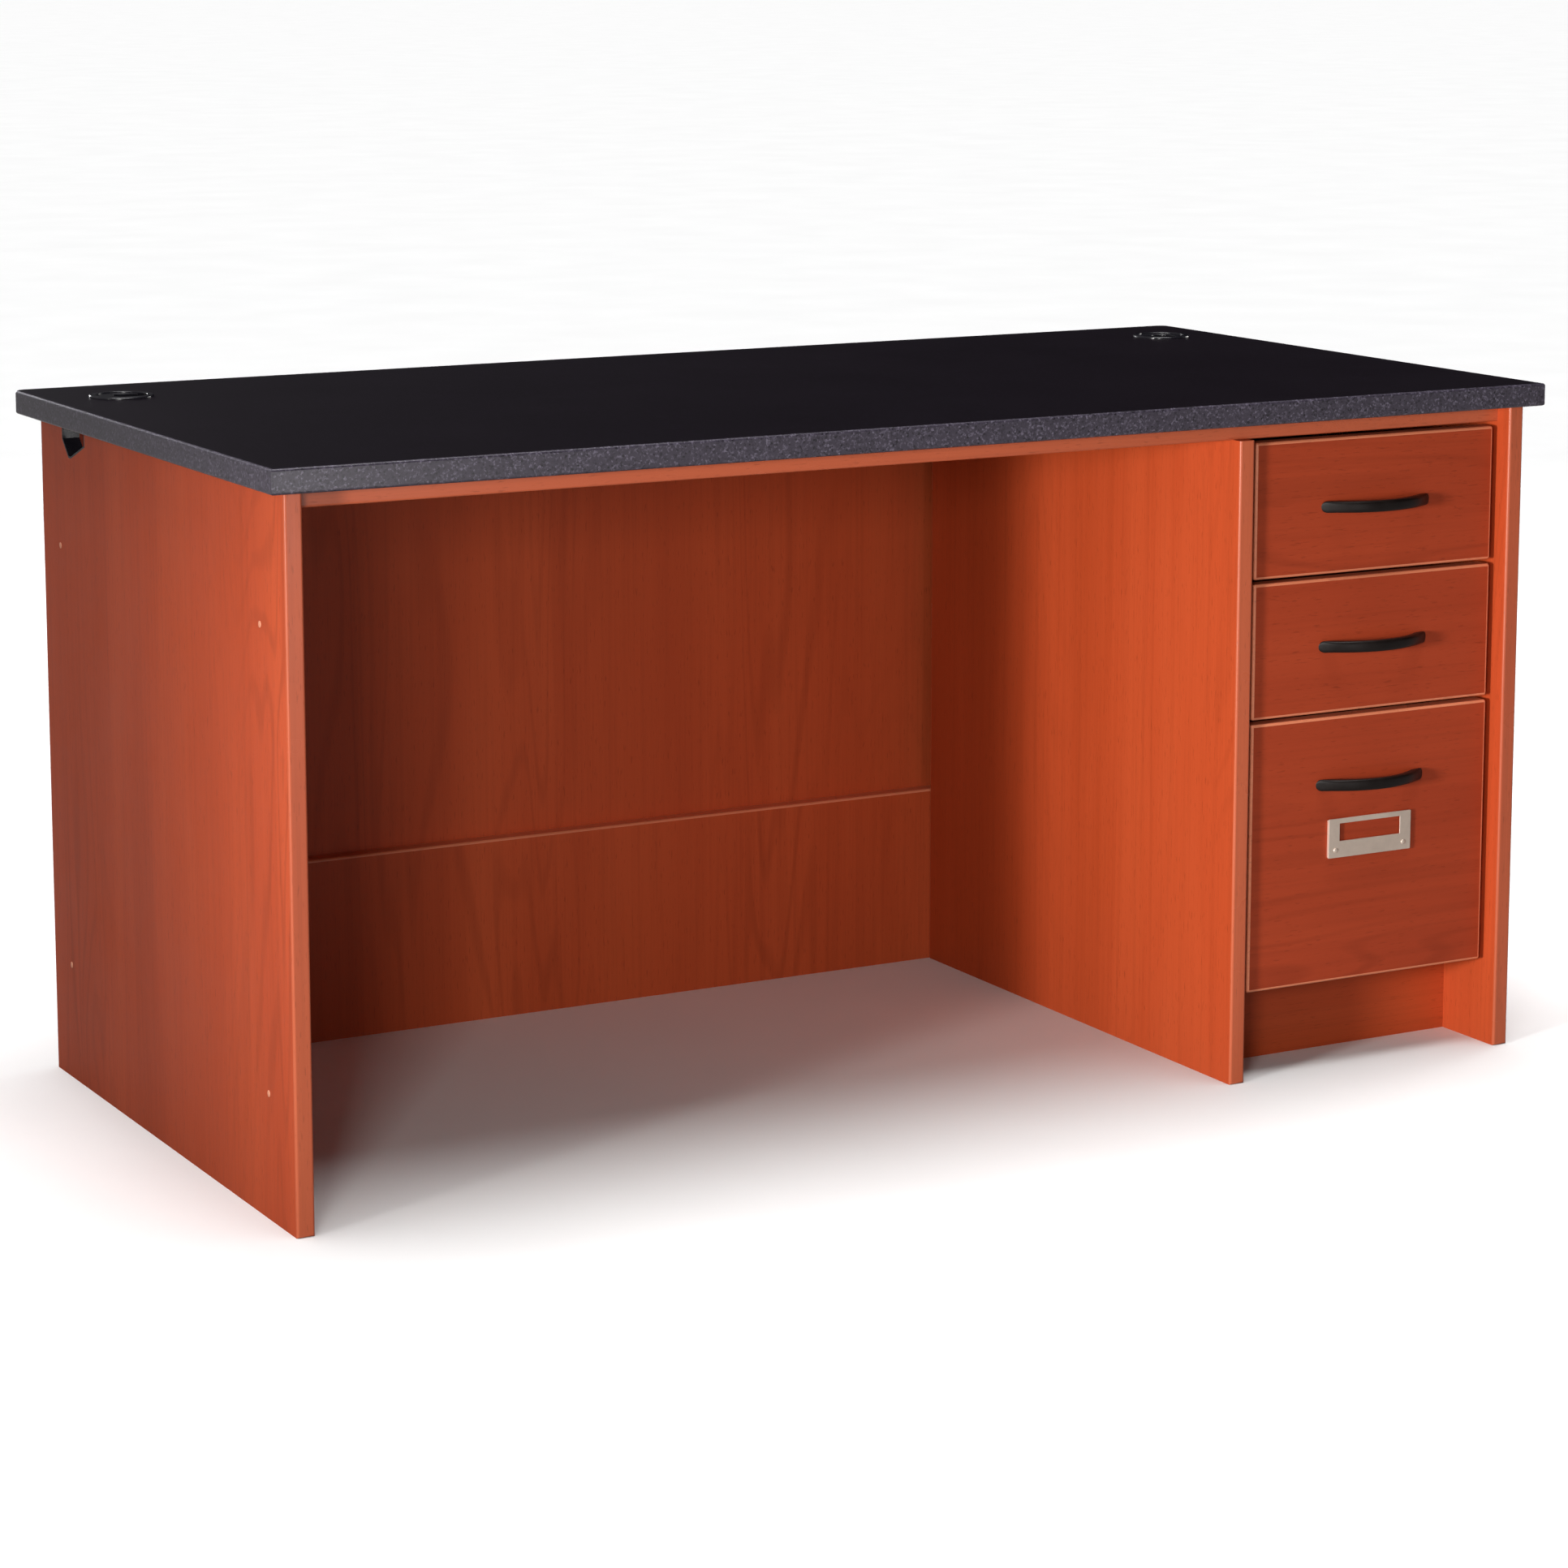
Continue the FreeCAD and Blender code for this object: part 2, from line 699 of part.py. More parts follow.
def bracket_places():
    """The corner brackets under the worktop as (panel, wall x, direction, y)."""
    knee_middle = f"({LOWER_MODESTY_FRONT} / 2)"
    for y in (f"({RAIL_FRONT} + rail_depth + bracket_width)", knee_middle):
        yield "left", LEFT_INSIDE, 1, y
        yield "inner", INNER_FACE, -1, y
    yield "right", RIGHT_INSIDE, -1, f"({RAIL_FRONT} + rail_depth + bracket_width)"
    yield "right", RIGHT_INSIDE, -1, knee_middle


def bracket_screw_rod(name, leg, wall, way, y, start, length, radius):
    """A rod on the axis of one of a bracket's two screws, from start, into the board."""
    mid_leg = "bracket_leg / 2"
    if leg == "top":
        return rod(name, "z", (f"{wall} + {way} * {mid_leg}", y, f"{UNDER_TOP} - {start}"),
                   radius, length)
    x = f"{wall} + {way} * {start}" if way < 0 else f"{wall} + {start} - ({length})"
    return rod(name, "x", (x, y, f"{UNDER_TOP} - {mid_leg}"), radius, length)


def bracket_screw_bores(board):
    """The brackets' pilot bores in the worktop or in the named upright."""
    tools = []
    for panel, wall, way, y in bracket_places():
        leg = "top" if board == "worktop" else "wall"
        if board in ("worktop", panel):
            tools.append(bracket_screw_rod("bracket_pilot", leg, wall, way, y, "0",
                                           "bracket_screw_length - bracket_steel",
                                           "bracket_screw_radius"))
    return tools


def top_brackets():
    brackets, screws = [], []
    for panel, wall, way, y in bracket_places():
        low = wall if way > 0 else f"{wall} - bracket_leg"
        web = wall if way > 0 else f"{wall} - bracket_steel"
        start = f"{y} - bracket_width / 2"
        top_leg = block("bracket_top_leg", (low, start, f"{UNDER_TOP} - bracket_steel"),
                        ("bracket_leg", "bracket_width", "bracket_steel"))
        wall_leg = block("bracket_wall_leg", (web, start, f"{UNDER_TOP} - bracket_leg"),
                         ("bracket_steel", "bracket_width", "bracket_leg"))
        holes = []
        for leg in ("top", "wall"):
            shank = bracket_screw_rod("bracket_screw_shank", leg, wall, way, y, "bracket_steel",
                                      "bracket_screw_length", "bracket_screw_radius")
            head = bracket_screw_rod("bracket_screw_head_part", leg, wall, way, y,
                                     "(bracket_steel + bracket_screw_head)",
                                     "bracket_screw_head", "bracket_screw_head_radius")
            screws.append(joined("bracket_screw", [shank, head]))
            holes.append(bracket_screw_rod("bracket_hole", leg, wall, way, y, "bracket_steel",
                                           "bracket_steel", "bracket_screw_radius"))
        angle = document.addObject("Part::Cut", "top_bracket")
        angle.Base = joined("bracket_angle", [top_leg, wall_leg])
        angle.Tool = joined("bracket_holes", holes)
        brackets.append(angle)
    group("top_brackets", brackets)
    group("top_bracket_screws", screws)


# -------------------------------------------------------------------------- grommets

def ring_body(name, position, inner, outer, height):
    body = body_at(name, position)
    sketch = sketch_on(body, "XY_Plane")
    draw_circle(sketch, "0", "0", outer)
    draw_circle(sketch, "0", "0", inner)
    pad(body, sketch, height)
    return body


def grommets():
    for side, sign in (("left", -1), ("right", 1)):
        centre = (f"{sign} * {GROMMET_X}", GROMMET_Y)
        sleeve = ring_body(f"grommet_sleeve_{side}", centre + ("desk_height",),
                           "sleeve_bore_radius", "grommet_flange_radius",
                           "grommet_flange_thick")
        tube = sketch_on(sleeve, "XY_Plane")
        draw_circle(tube, "0", "0", "grommet_hole_radius")
        draw_circle(tube, "0", "0", "sleeve_bore_radius")
        pad(sleeve, tube, "sleeve_drop", reverse=True)
        rim = "grommet_flange_thick"
        round_edges(sleeve, "grommet_flange_round", lambda edge: near(middle(edge).z, rim))
        keep(sleeve, f"grommet_sleeve_{side}")
        grommet_cap(side, centre)


def grommet_cap(side, centre):
    """The cap that turns in the sleeve, with a cable slot open to its rim."""
    low = "(desk_height + cap_sunk - cap_thick)"
    cap = body_at(f"grommet_cap_{side}_body", centre + (low,))
    disc = sketch_on(cap, "XY_Plane")
    draw_circle(disc, "0", "0", "cap_radius")
    pad(cap, disc, "cap_thick")
    skirt = sketch_on(cap, "XY_Plane")
    draw_circle(skirt, "0", "0", "cap_skirt_radius")
    draw_circle(skirt, "0", "0", "cap_skirt_radius - cap_skirt_thick")
    pad(cap, skirt, "cap_skirt_drop", reverse=True)
    rim = "cap_thick"
    round_edges(cap, "cap_round", lambda edge: near(middle(edge).z, rim))

    x, y = centre
    slot_low = f"{low} - cap_skirt_drop"
    slot_tall = "(cap_thick + cap_skirt_drop)"
    width = "(2 * cap_slot_radius)"
    if side == "left":
        round_end = (f"{x} + cap_slot_offset", y)
        corner = (f"{x} + cap_slot_offset", f"{y} - cap_slot_radius")
        size = ("cap_radius", width, slot_tall)
    else:
        round_end = (x, f"{y} - cap_slot_offset")
        corner = (f"{x} - cap_slot_radius", f"{y} - cap_slot_offset - cap_radius")
        size = (width, "cap_radius", slot_tall)
    slot = [
        rod("cap_slot_end", "z", round_end + (slot_low,), "cap_slot_radius", slot_tall),
        block("cap_slot_run", corner + (slot_low,), size),
    ]
    drilled(f"grommet_cap_{side}", cap, slot)


# ---------------------------------------------------------------------------- drawers

TOP_FRONT_TOP = f"({RAIL_BOTTOM} - top_gap)"
MIDDLE_FRONT_TOP = f"({TOP_FRONT_TOP} - small_front - front_gap)"
FILE_FRONT_TOP = f"({MIDDLE_FRONT_TOP} - small_front - front_gap)"

DRAWERS = (
    ("top", TOP_FRONT_TOP, "small_front", "small_box_height"),
    ("middle", MIDDLE_FRONT_TOP, "small_front", "small_box_height"),
    ("file", FILE_FRONT_TOP, "file_front", "file_box_height"),
)

FACE = f"({FRONT_FACE} + front_set_back)"
FRONT_BACK = f"({FACE} + board)"
FRONT_LEFT = f"({BAY_MIDDLE} - front_width / 2)"
BOX_LEFT = f"({BAY_LEFT} + slide_thick)"
BOX_WIDTH = "(pedestal_opening - 2 * slide_thick)"


def drawer_front(name, top, height):
    """The front's core, and round its four edges a band with rounded arrises."""
    low = f"({top} - {height})"
    core = block(f"{name}_front_body", (f"{FRONT_LEFT} + band", FACE, f"{low} + band"),
                 ("front_width - 2 * band", "board", f"{height} - 2 * band"))
    screws = [rod(f"{name}_pull_bore", "y",
                  (f"{BAY_MIDDLE} + {side} * pull_centres / 2", FACE, f"{top} - pull_drop"),
                  "pull_screw_radius", "board") for side in (-1, 1)]
    if name == "file":
        screws += [rod("label_pin_bore", "y", (x, FACE, z), "label_pin_radius",
                       "label_pin_bite - label_steel - label_stand_off")
                   for x, z in label_pin_places()]
    drilled(f"{name}_drawer_front", core, screws)

    band = body_at(f"{name}_drawer_front_band", (FRONT_LEFT, FACE, low))
    sketch = sketch_on(band, "XZ_Plane")
    draw_rectangle(sketch, "0", "0", "front_width", height)
    draw_rectangle(sketch, "band", "band", "front_width - 2 * band", f"{height} - 2 * band")
    pad(band, sketch, "board", reverse=True)
    round_edges(band, "front_corner_round", lambda edge: along(edge, 1) and on_rim(edge, height))
    round_edges(band, "band_round",
                lambda edge: near(middle(edge).y, "0") and on_rim(edge, height))
    keep(band, f"{name}_drawer_front_band")


def on_rim(edge, height):
    """True for an edge on the outer outline of a drawer front's band."""
    point = middle(edge)
    return (near(point.x, "0") or near(point.x, "front_width")
            or near(point.z, "0") or near(point.z, height))


def drawer_box(name, top, height, box_height):
    low = f"({top} - {height} + box_raise)"
    floor = f"({low} + bottom_raise)"
    side = body_at(f"{name}_drawer_side", (BOX_LEFT, FRONT_BACK, low))
    outline = sketch_on(side, "XZ_Plane")
    draw_polygon(outline, [
        ("0", "0"), ("box_side", "0"),
        ("box_side", "bottom_raise"), ("box_side - bottom_groove", "bottom_raise"),
        ("box_side - bottom_groove", "bottom_raise + bottom_thick"),
        ("box_side", "bottom_raise + bottom_thick"),
        ("box_side", box_height), ("0", box_height)])
    pad(side, outline, "box_length", reverse=True)
    group(f"{name}_drawer_sides", [side, mirrored(f"{name}_drawer_side_right", side, BAY_MIDDLE)])

    inner_left = f"{BOX_LEFT} + box_side"
    inner_width = f"({BOX_WIDTH} - 2 * box_side)"
    back_y = f"({FRONT_BACK} + box_length - box_side)"
    back = block(f"{name}_drawer_back", (inner_left, back_y, f"{floor} + bottom_thick"),
                 (inner_width, "box_side", f"{box_height} - bottom_raise - bottom_thick"))
    keep(back, f"{name}_drawer_back")
    bottom = block(f"{name}_drawer_bottom", (f"{inner_left} - bottom_groove", FRONT_BACK, floor),
                   (f"{inner_width} + 2 * bottom_groove", "box_length", "bottom_thick"))
    keep(bottom, f"{name}_drawer_bottom")


def slide_profile(name, start, reach, half, opens_right, y, z):
    """One member of a slide: a steel channel lying on its side, drawn as a C."""
    body = body_at(name, (f"{BAY_LEFT} + {start}", y, f"{z} - {half}"))
    sketch = sketch_on(body, "XZ_Plane")
    width = f"({reach} - {start})"
    tall = f"(2 * {half})"
    lip = f"({tall} - slide_steel)"
    if opens_right:
        corners = [("0", "0"), (width, "0"), (width, "slide_steel"),
                   ("slide_steel", "slide_steel"), ("slide_steel", lip), (width, lip),
                   (width, tall), ("0", tall)]
    else:
        back = f"({width} - slide_steel)"
        corners = [("0", "0"), (width, "0"), (width, tall), ("0", tall), ("0", lip),
                   (back, lip), (back, "slide_steel"), ("0", "slide_steel")]
    draw_polygon(sketch, corners)
    pad(body, sketch, "slide_length", reverse=True)
    return body


def slide_height(top, height):
    return f"({top} - {height} + box_raise + slide_lift)"


def slides(name, top, height):
    """The three members of each slide; each node holds the left and the right one."""
    z = slide_height(top, height)
    y = FRONT_BACK
    members = {
        "outer": ("0", "slide_outer_reach", "slide_outer_half", True),
        "middle": ("slide_middle_start", "slide_middle_reach", "slide_middle_half", True),
        "inner": ("slide_inner_start", "slide_thick", "slide_inner_half", False),
    }
    for member, (start, reach, half, opens_right) in members.items():
        left = slide_profile(f"{name}_slide_{member}_left", start, reach, half, opens_right,
                             y, z)
        right = mirrored(f"{name}_slide_{member}_right", left, BAY_MIDDLE)
        if member == "outer":
            screws = [shank for side, shank in slide_screw_places(name)]
            drilled_pair = document.addObject("Part::Cut", f"{name}_slide_outer")
            drilled_pair.Base = compound_of(f"{name}_slide_outer_pair", [left, right])
            drilled_pair.Tool = joined(f"{name}_slide_outer_holes", screws)
            keep(drilled_pair, f"{name}_slide_outer")
        else:
            group(f"{name}_slide_{member}", [left, right])


def compound_of(name, pieces):
    compound = document.addObject("Part::Compound", name)
    compound.Links = pieces
    return compound


def slide_screw_places(only=None):
    """The shank of each slide screw with the side of the bay that it is driven into."""
    for name, top, height, box_height in DRAWERS:
        if only and name != only:
            continue
        z = slide_height(top, height)
        for step in (-1, 0, 1):
            y = f"({FRONT_BACK} + slide_length / 2 + {step} * slide_screw_spread)"
            left = f"{BAY_LEFT} + slide_steel - slide_screw_length"
            right = f"{RIGHT_INSIDE} - slide_steel"
            for side, x in (("left", left), ("right", right)):
                yield side, rod(f"slide_screw_{side}", "x", (x, y, z), "slide_screw_radius",
                                "slide_screw_length")


def slide_screw_rods(side):
    return [shank for which, shank in slide_screw_places() if which == side]


def slide_screws():
    group("slide_screws", [shank for side, shank in slide_screw_places()])


def bow_radius(length, rise):
    """The radius of the arc that spans the length and stands the rise off it."""
    return f"(({length}) ^ 2 / 4 + ({rise}) ^ 2) / (2 * {rise})"


def draw_bow(sketch, length, rise):
    """An arc whose ends lie on the drawer front, bowed out towards the user."""
    start = (f"(pull_length - {length}) / 2", "pull_reach")
    through = ("pull_length / 2", f"pull_reach - {rise}")
    finish = (f"(pull_length + {length}) / 2", "pull_reach")
    return draw_arc(sketch, start, through, finish, bow_radius(length, rise)), start, finish


def pull(name, top):
    """A bow pull: a crescent in plan, its ends rounded as seen from the front."""
    z = f"({top} - pull_drop)"
    low = f"({z} - pull_height / 2)"
    left = f"({BAY_MIDDLE} - pull_length / 2)"
    crescent = body_at(f"{name}_pull_plan", (left, f"{FACE} - pull_reach", low))
    sketch = sketch_on(crescent, "XY_Plane")
    outer, outer_left, outer_right = draw_bow(sketch, "pull_length", "pull_reach")
    inner, inner_left, inner_right = draw_bow(sketch, "pull_inner_length", "pull_clear")
    draw_link(sketch, outer, 1, inner, 1, outer_left, inner_left)
    draw_link(sketch, inner, 2, outer, 2, inner_right, outer_right)
    pad(crescent, sketch, "pull_height")
    round_edges(crescent, "pull_round", lambda edge: isinstance(edge.Curve, Part.Circle))

    half = "(pull_height / 2)"
    tall = [rod(f"{name}_pull_end", "y", (x, f"{FACE} - pull_reach", z), half, "pull_reach")
            for x in (f"{left} + {half}", f"{left} + pull_length - {half}")]
    between = block(f"{name}_pull_between", (f"{left} + {half}", f"{FACE} - pull_reach", low),
                    ("pull_length - pull_height", "pull_reach", "pull_height"))
    stadium = joined(f"{name}_pull_outline", tall + [between])
    stadium.Refine = True
    bow = document.addObject("Part::MultiCommon", f"{name}_pull_bow")
    bow.Shapes = [crescent, stadium]
    bores = [rod(f"{name}_pull_thread", "y",
                 (f"{BAY_MIDDLE} + {side} * pull_centres / 2", f"{FACE} - pull_screw_bite", z),
                 "pull_screw_radius", "pull_screw_bite") for side in (-1, 1)]
    drilled(f"{name}_drawer_pull", bow, bores)

    screws = []
    for side in (-1, 1):
        x = f"{BAY_MIDDLE} + {side} * pull_centres / 2"
        shank = rod("pull_screw_shank", "y", (x, f"{FACE} - pull_screw_bite", z),
                    "pull_screw_radius", "pull_screw_bite + board")
        head = rod("pull_screw_cap", "y", (x, FRONT_BACK, z), "pull_screw_head_radius",
                   "pull_screw_head")
        screws.append(joined("pull_screw", [shank, head]))
    group(f"{name}_pull_screws", screws)


def label_pin_places():
    low = f"({FILE_FRONT_TOP} - label_drop - label_height)"
    for side in (-1, 1):
        x = f"({BAY_MIDDLE} + {side} * (label_width / 2 - label_pin_in))"
        yield x, f"({low} + label_pin_low)"


def label_holder():
    """A folded steel plate with a window, open at the top for the card."""
    low = f"({FILE_FRONT_TOP} - label_drop - label_height)"
    reach = "(label_stand_off + label_steel)"
    holder = body_at("label_holder_body", (f"{BAY_MIDDLE} - label_width / 2",
                                           f"{FACE} - {reach}", low))
    plate = sketch_on(holder, "XZ_Plane")
    draw_rectangle(plate, "0", "0", "label_width", "label_height")
    pad(holder, plate, reach, reverse=True)
    card = sketch_on(holder, "XZ_Plane", f"-{reach}")
    draw_rectangle(card, "label_steel", "label_steel", "label_width - 2 * label_steel",
                   "label_height")
    pocket(holder, card, "label_stand_off", reverse=True)
    window = sketch_on(holder, "XZ_Plane")
    draw_rectangle(window, "(label_width - label_window_width) / 2", "label_window_low",
                   "label_window_width", "label_window_height")
    pocket(holder, window, reach)
    bores = [rod("label_pin_hole", "y", (x, f"{FACE} - {reach}", z), "label_pin_radius", reach)
             for x, z in label_pin_places()]
    drilled("label_holder", holder, bores)

    pins = []
    for x, z in label_pin_places():
        shank = rod("label_pin_shank", "y", (x, f"{FACE} - {reach}", z), "label_pin_radius",
                    "label_pin_bite")
        head = rod("label_pin_head_part", "y", (x, f"{FACE} - {reach} - label_pin_head", z),
                   "label_pin_head_radius", "label_pin_head")
        pins.append(joined("label_pin", [shank, head]))
    group("label_holder_pins", pins)


def hanging_file_rails():
    """Two flat steel bars across the file drawer, hooked over its sides."""
    low = f"({FILE_FRONT_TOP} - file_front + box_raise)"
    top = f"({low} + file_box_height)"
    rails = []
    for step in (0, 1):
        y = f"{FRONT_BACK} + hang_rail_front_in + {step} * hang_rail_spacing"
        rails.append(block("hanging_file_rail", (BOX_LEFT, y, top),
                           (BOX_WIDTH, "hang_rail_thick", "hang_rail_height")))
    group("hanging_file_rails", rails)


def all_drawers():
    for name, top, height, box_height in DRAWERS:
        drawer_front(name, top, height)
        drawer_box(name, top, height, box_height)
        slides(name, top, height)
        pull(name, top)


worktop()
end_panel("left", LEFT_FACE, True)
end_panel("right", f"{RIGHT_FACE} - board", False)
cable_port_liner()
end_panel_plugs()
pedestal_inner_panel()
front_rail()
modesty_panels()
pedestal_floor()
cam_fixings()
top_brackets()
grommets()
all_drawers()
slide_screws()
label_holder()
hanging_file_rails()

document.recompute()

failed = [item.Label for item in document.Objects
          if "Invalid" in item.State or "Error" in item.State]
if failed:
    raise RuntimeError("failed objects: " + ", ".join(failed))

os.makedirs("parts", exist_ok=True)
for node in nodes:
    if node.Shape.isNull() or not node.Shape.isValid() or not node.Shape.Solids:
        raise RuntimeError(f"{node.Label}: bad shape")
    node.Shape.exportStep(f"parts/{node.Label}.step")
print(len(nodes), "nodes written")
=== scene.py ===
import math

import bmesh
import bpy
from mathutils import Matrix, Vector


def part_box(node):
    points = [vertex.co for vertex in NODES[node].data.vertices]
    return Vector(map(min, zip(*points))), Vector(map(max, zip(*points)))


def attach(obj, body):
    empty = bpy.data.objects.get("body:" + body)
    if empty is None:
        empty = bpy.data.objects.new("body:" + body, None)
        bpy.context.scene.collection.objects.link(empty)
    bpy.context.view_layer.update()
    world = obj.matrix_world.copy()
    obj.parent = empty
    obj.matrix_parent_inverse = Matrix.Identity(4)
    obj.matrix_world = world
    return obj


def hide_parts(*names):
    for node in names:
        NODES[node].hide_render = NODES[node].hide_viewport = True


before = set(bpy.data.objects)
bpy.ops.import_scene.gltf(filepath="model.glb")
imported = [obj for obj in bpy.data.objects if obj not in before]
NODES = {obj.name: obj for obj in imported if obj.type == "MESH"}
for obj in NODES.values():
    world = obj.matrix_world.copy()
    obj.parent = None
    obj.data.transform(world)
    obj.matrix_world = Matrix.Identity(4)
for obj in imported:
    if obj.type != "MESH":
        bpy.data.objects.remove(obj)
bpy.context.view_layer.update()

MM = 0.001

# Sizes of the details that the frame's boxes don't give, in metres.
BAND = 3.0 * MM
ARRIS = 2.7 * MM
REAR_CORNER = 14.0 * MM
FRONT_CORNER = 3.0 * MM
FRONT_BACK_ROUND = 0.5 * MM
PULL_INNER_LENGTH = 112.0 * MM
PULL_CLEAR = 19.0 * MM
PULL_SQUARENESS = 0.62
LABEL_STEEL = 1.0 * MM
LABEL_SOFT = 0.35 * MM
LABEL_CORNER = 1.2 * MM
LABEL_BORDER = 15.0 * MM
LABEL_WINDOW_LOW = 18.7 * MM
LABEL_WINDOW_HEIGHT = 20.0 * MM
LABEL_WINDOW_CORNER = 0.6 * MM
LABEL_LEAST_CORNER = 0.1 * MM
PIN_HEAD = 1.2 * MM
FLANGE_THICK = 2.4 * MM
FLANGE_LIP = 1.6 * MM
BORE_RIM = 0.8 * MM
SLEEVE_RADIUS = 30.0 * MM
SLEEVE_BORE = 27.6 * MM
CAP_RADIUS = 27.2 * MM
CAP_THICK = 3.0 * MM
CAP_SUNK = 1.2 * MM
CAP_SOFT = 0.7 * MM
SLOT_RADIUS = 13.0 * MM
SLOT_OFFSET = 2.0 * MM
SKIRT_INNER = 23.5 * MM
SKIRT_OUTER = 25.0 * MM
SKIRT_DROP = 9.0 * MM
PLUG_RADIUS = 3.4 * MM
PLUG_THICK = 0.8 * MM

# How finely the round stretches are divided.
ARRIS_STEPS = 6
CORNER_STEPS = 12
DOME_STEPS = 6
FRONT_BACK_STEPS = 2
LABEL_STEPS = 4
PULL_STATIONS = 56
PULL_SIDES = 28
PIN_STEPS = 32
PLUG_STEPS = 24
SLEEVE_STEPS = 72
CAP_STEPS = 60
SLOT_STEPS = 20
SKIRT_STEPS = 48

# How near counts as on a face and as the same point, how far a pull's end rings stay inside
# its ends, and how much wider than the cap's slot the skirt's gap is on each side, in radians.
TOUCH = MM / 10
WELD = MM / 100
PULL_ENDS = 0.9995
SKIRT_GAP = 0.02


# ------------------------------------------------------------------ node trees

class Tree:
    """A material's node tree, with short calls to add a node and wire it up."""

    def __init__(self, name):
        self.material = bpy.data.materials.new(name)
        self.material.use_nodes = True
        self.tree = self.material.node_tree
        self.shader = self.tree.nodes["Principled BSDF"]

    def add(self, kind, inputs=(), **settings):
        node = self.tree.nodes.new("ShaderNode" + kind)
        for key, setting in settings.items():
            setattr(node, key, setting)
        self.wire(node, dict(inputs))
        return node

    def wire(self, node, inputs):
        for key, given in inputs.items():
            socket = node.inputs[key]
            if isinstance(given, bpy.types.NodeSocket):
                self.tree.links.new(given, socket)
            else:
                socket.default_value = given

    def shade(self, **inputs):
        self.wire(self.shader, {key.replace("_", " "): given for key, given in inputs.items()})

    def coords(self, scale, shift=(0, 0, 0)):
        """Row-frame coordinates, stretched by a factor on each axis."""
        source = self.add("TexCoord").outputs["Object"]
        mapping = self.add("Mapping", {"Vector": source, "Scale": scale, "Location": shift})
        return mapping.outputs["Vector"]

    def noise(self, vector, scale=1.0, detail=2.0, roughness=0.5, distortion=0.0):
        node = self.add("TexNoise", {"Vector": vector, "Scale": scale, "Detail": detail,
                                     "Roughness": roughness, "Distortion": distortion})
        return node.outputs["Fac"]

    def math(self, operation, first, second=0.0, clamp=False):
        node = self.add("Math", {0: first, 1: second}, operation=operation, use_clamp=clamp)
        return node.outputs[0]

    def band(self, value, low, high, out_low=0.0, out_high=1.0):
        """The value moved from one range to another, and held inside it."""
        node = self.add("MapRange", {"Value": value, "From Min": low, "From Max": high,
                                     "To Min": out_low, "To Max": out_high})
        return node.outputs["Result"]

    def ramp(self, value, stops):
        node = self.add("ValToRGB", {"Fac": value})
        elements = node.color_ramp.elements
        while len(elements) < len(stops):
            elements.new(0.5)
        for element, (place, colour) in zip(elements, stops):
            element.position = place
            element.color = (*colour, 1.0)
        return node.outputs["Color"]

    def mix(self, factor, first, second, blend="MIX"):
        node = self.add("Mix", {"Factor": factor}, data_type="RGBA", blend_type=blend)
        for socket, given in ((node.inputs[6], first), (node.inputs[7], second)):
            if isinstance(given, bpy.types.NodeSocket):
                self.tree.links.new(given, socket)
            else:
                socket.default_value = (*given, 1.0)
        return node.outputs[2]

    def bump(self, height, strength, distance):
        node = self.add("Bump", {"Height": height, "Strength": strength, "Distance": distance})
        return node.outputs["Normal"]


def linear(red, green, blue):
    """A screen colour, 0 to 255, as the linear colour that shaders take."""
    def one(channel):
        channel /= 255
        return channel / 12.92 if channel <= 0.04045 else ((channel + 0.055) / 1.055) ** 2.4
    return one(red), one(green), one(blue)


# ------------------------------------------------------------------- materials

def stretched(grain, across, along):
    """A scale for each axis: one factor across the grain and one along it."""
    return tuple(along if axis == grain else across for axis in "xyz")


def cherry(name, grain, seed, tones, roughness=0.42, shine=0.22):
    """Cherry woodgrain laminate: a slow drift of tone, a faint flame figure, fine fibres
    and short dark pores, all drawn out along the grain."""
    tree = Tree(name)
    shift = (seed * 1.7, seed * 2.3, seed * 3.1)
    dark, middle, light = tones
    drift = tree.noise(tree.coords(stretched(grain, 8.0, 0.8), shift), 1.0, 3.0, 0.55, 0.4)
    colour = tree.ramp(drift, [(0.25, dark), (0.5, middle), (0.78, light)])
    field = tree.noise(tree.coords(stretched(grain, 6.5, 0.75), shift), 1.0, 1.8, 0.5, 0.6)
    rings = tree.math("SINE", tree.math("MULTIPLY", field, 120.0))
    figure = tree.band(rings, 0.3, 1.0)
    patches = tree.band(tree.noise(tree.coords(stretched(grain, 3.0, 0.8), shift)), 0.46, 0.66)
    figure = tree.math("MULTIPLY", figure, patches)
    deep = tuple(channel * 0.55 for channel in dark)
    colour = tree.mix(tree.math("MULTIPLY", figure, 0.3), colour, deep)
    fibres = tree.noise(tree.coords(stretched(grain, 520.0, 8.0), shift), 1.0, 3.0, 0.6)
    streaks = tree.noise(tree.coords(stretched(grain, 130.0, 1.8), shift), 1.0, 3.0, 0.6)
    colour = tree.mix(tree.band(streaks, 0.5, 0.8, 0.0, 0.22), colour, deep)
    colour = tree.mix(tree.band(streaks, 0.46, 0.2, 0.0, 0.3), colour, light)
    colour = tree.mix(tree.band(fibres, 0.52, 0.78, 0.0, 0.16), colour, deep)
    pores = tree.noise(tree.coords(stretched(grain, 620.0, 70.0), shift), 1.0, 1.0, 0.5)
    pore = tree.band(pores, 0.64, 0.74)
    colour = tree.mix(tree.math("MULTIPLY", pore, 0.36), colour,
                      tuple(channel * 0.45 for channel in dark))
    smudge = tree.noise(tree.coords((4.0, 4.0, 4.0), shift), 1.0, 4.0, 0.6)
    tree.shade(Base_Color=colour, Specular_IOR_Level=shine,
               Roughness=tree.band(smudge, 0.3, 0.7, roughness - 0.05, roughness + 0.07),
               Normal=tree.bump(tree.math("SUBTRACT", fibres, pore), 0.1, 0.0003))
    return tree.material


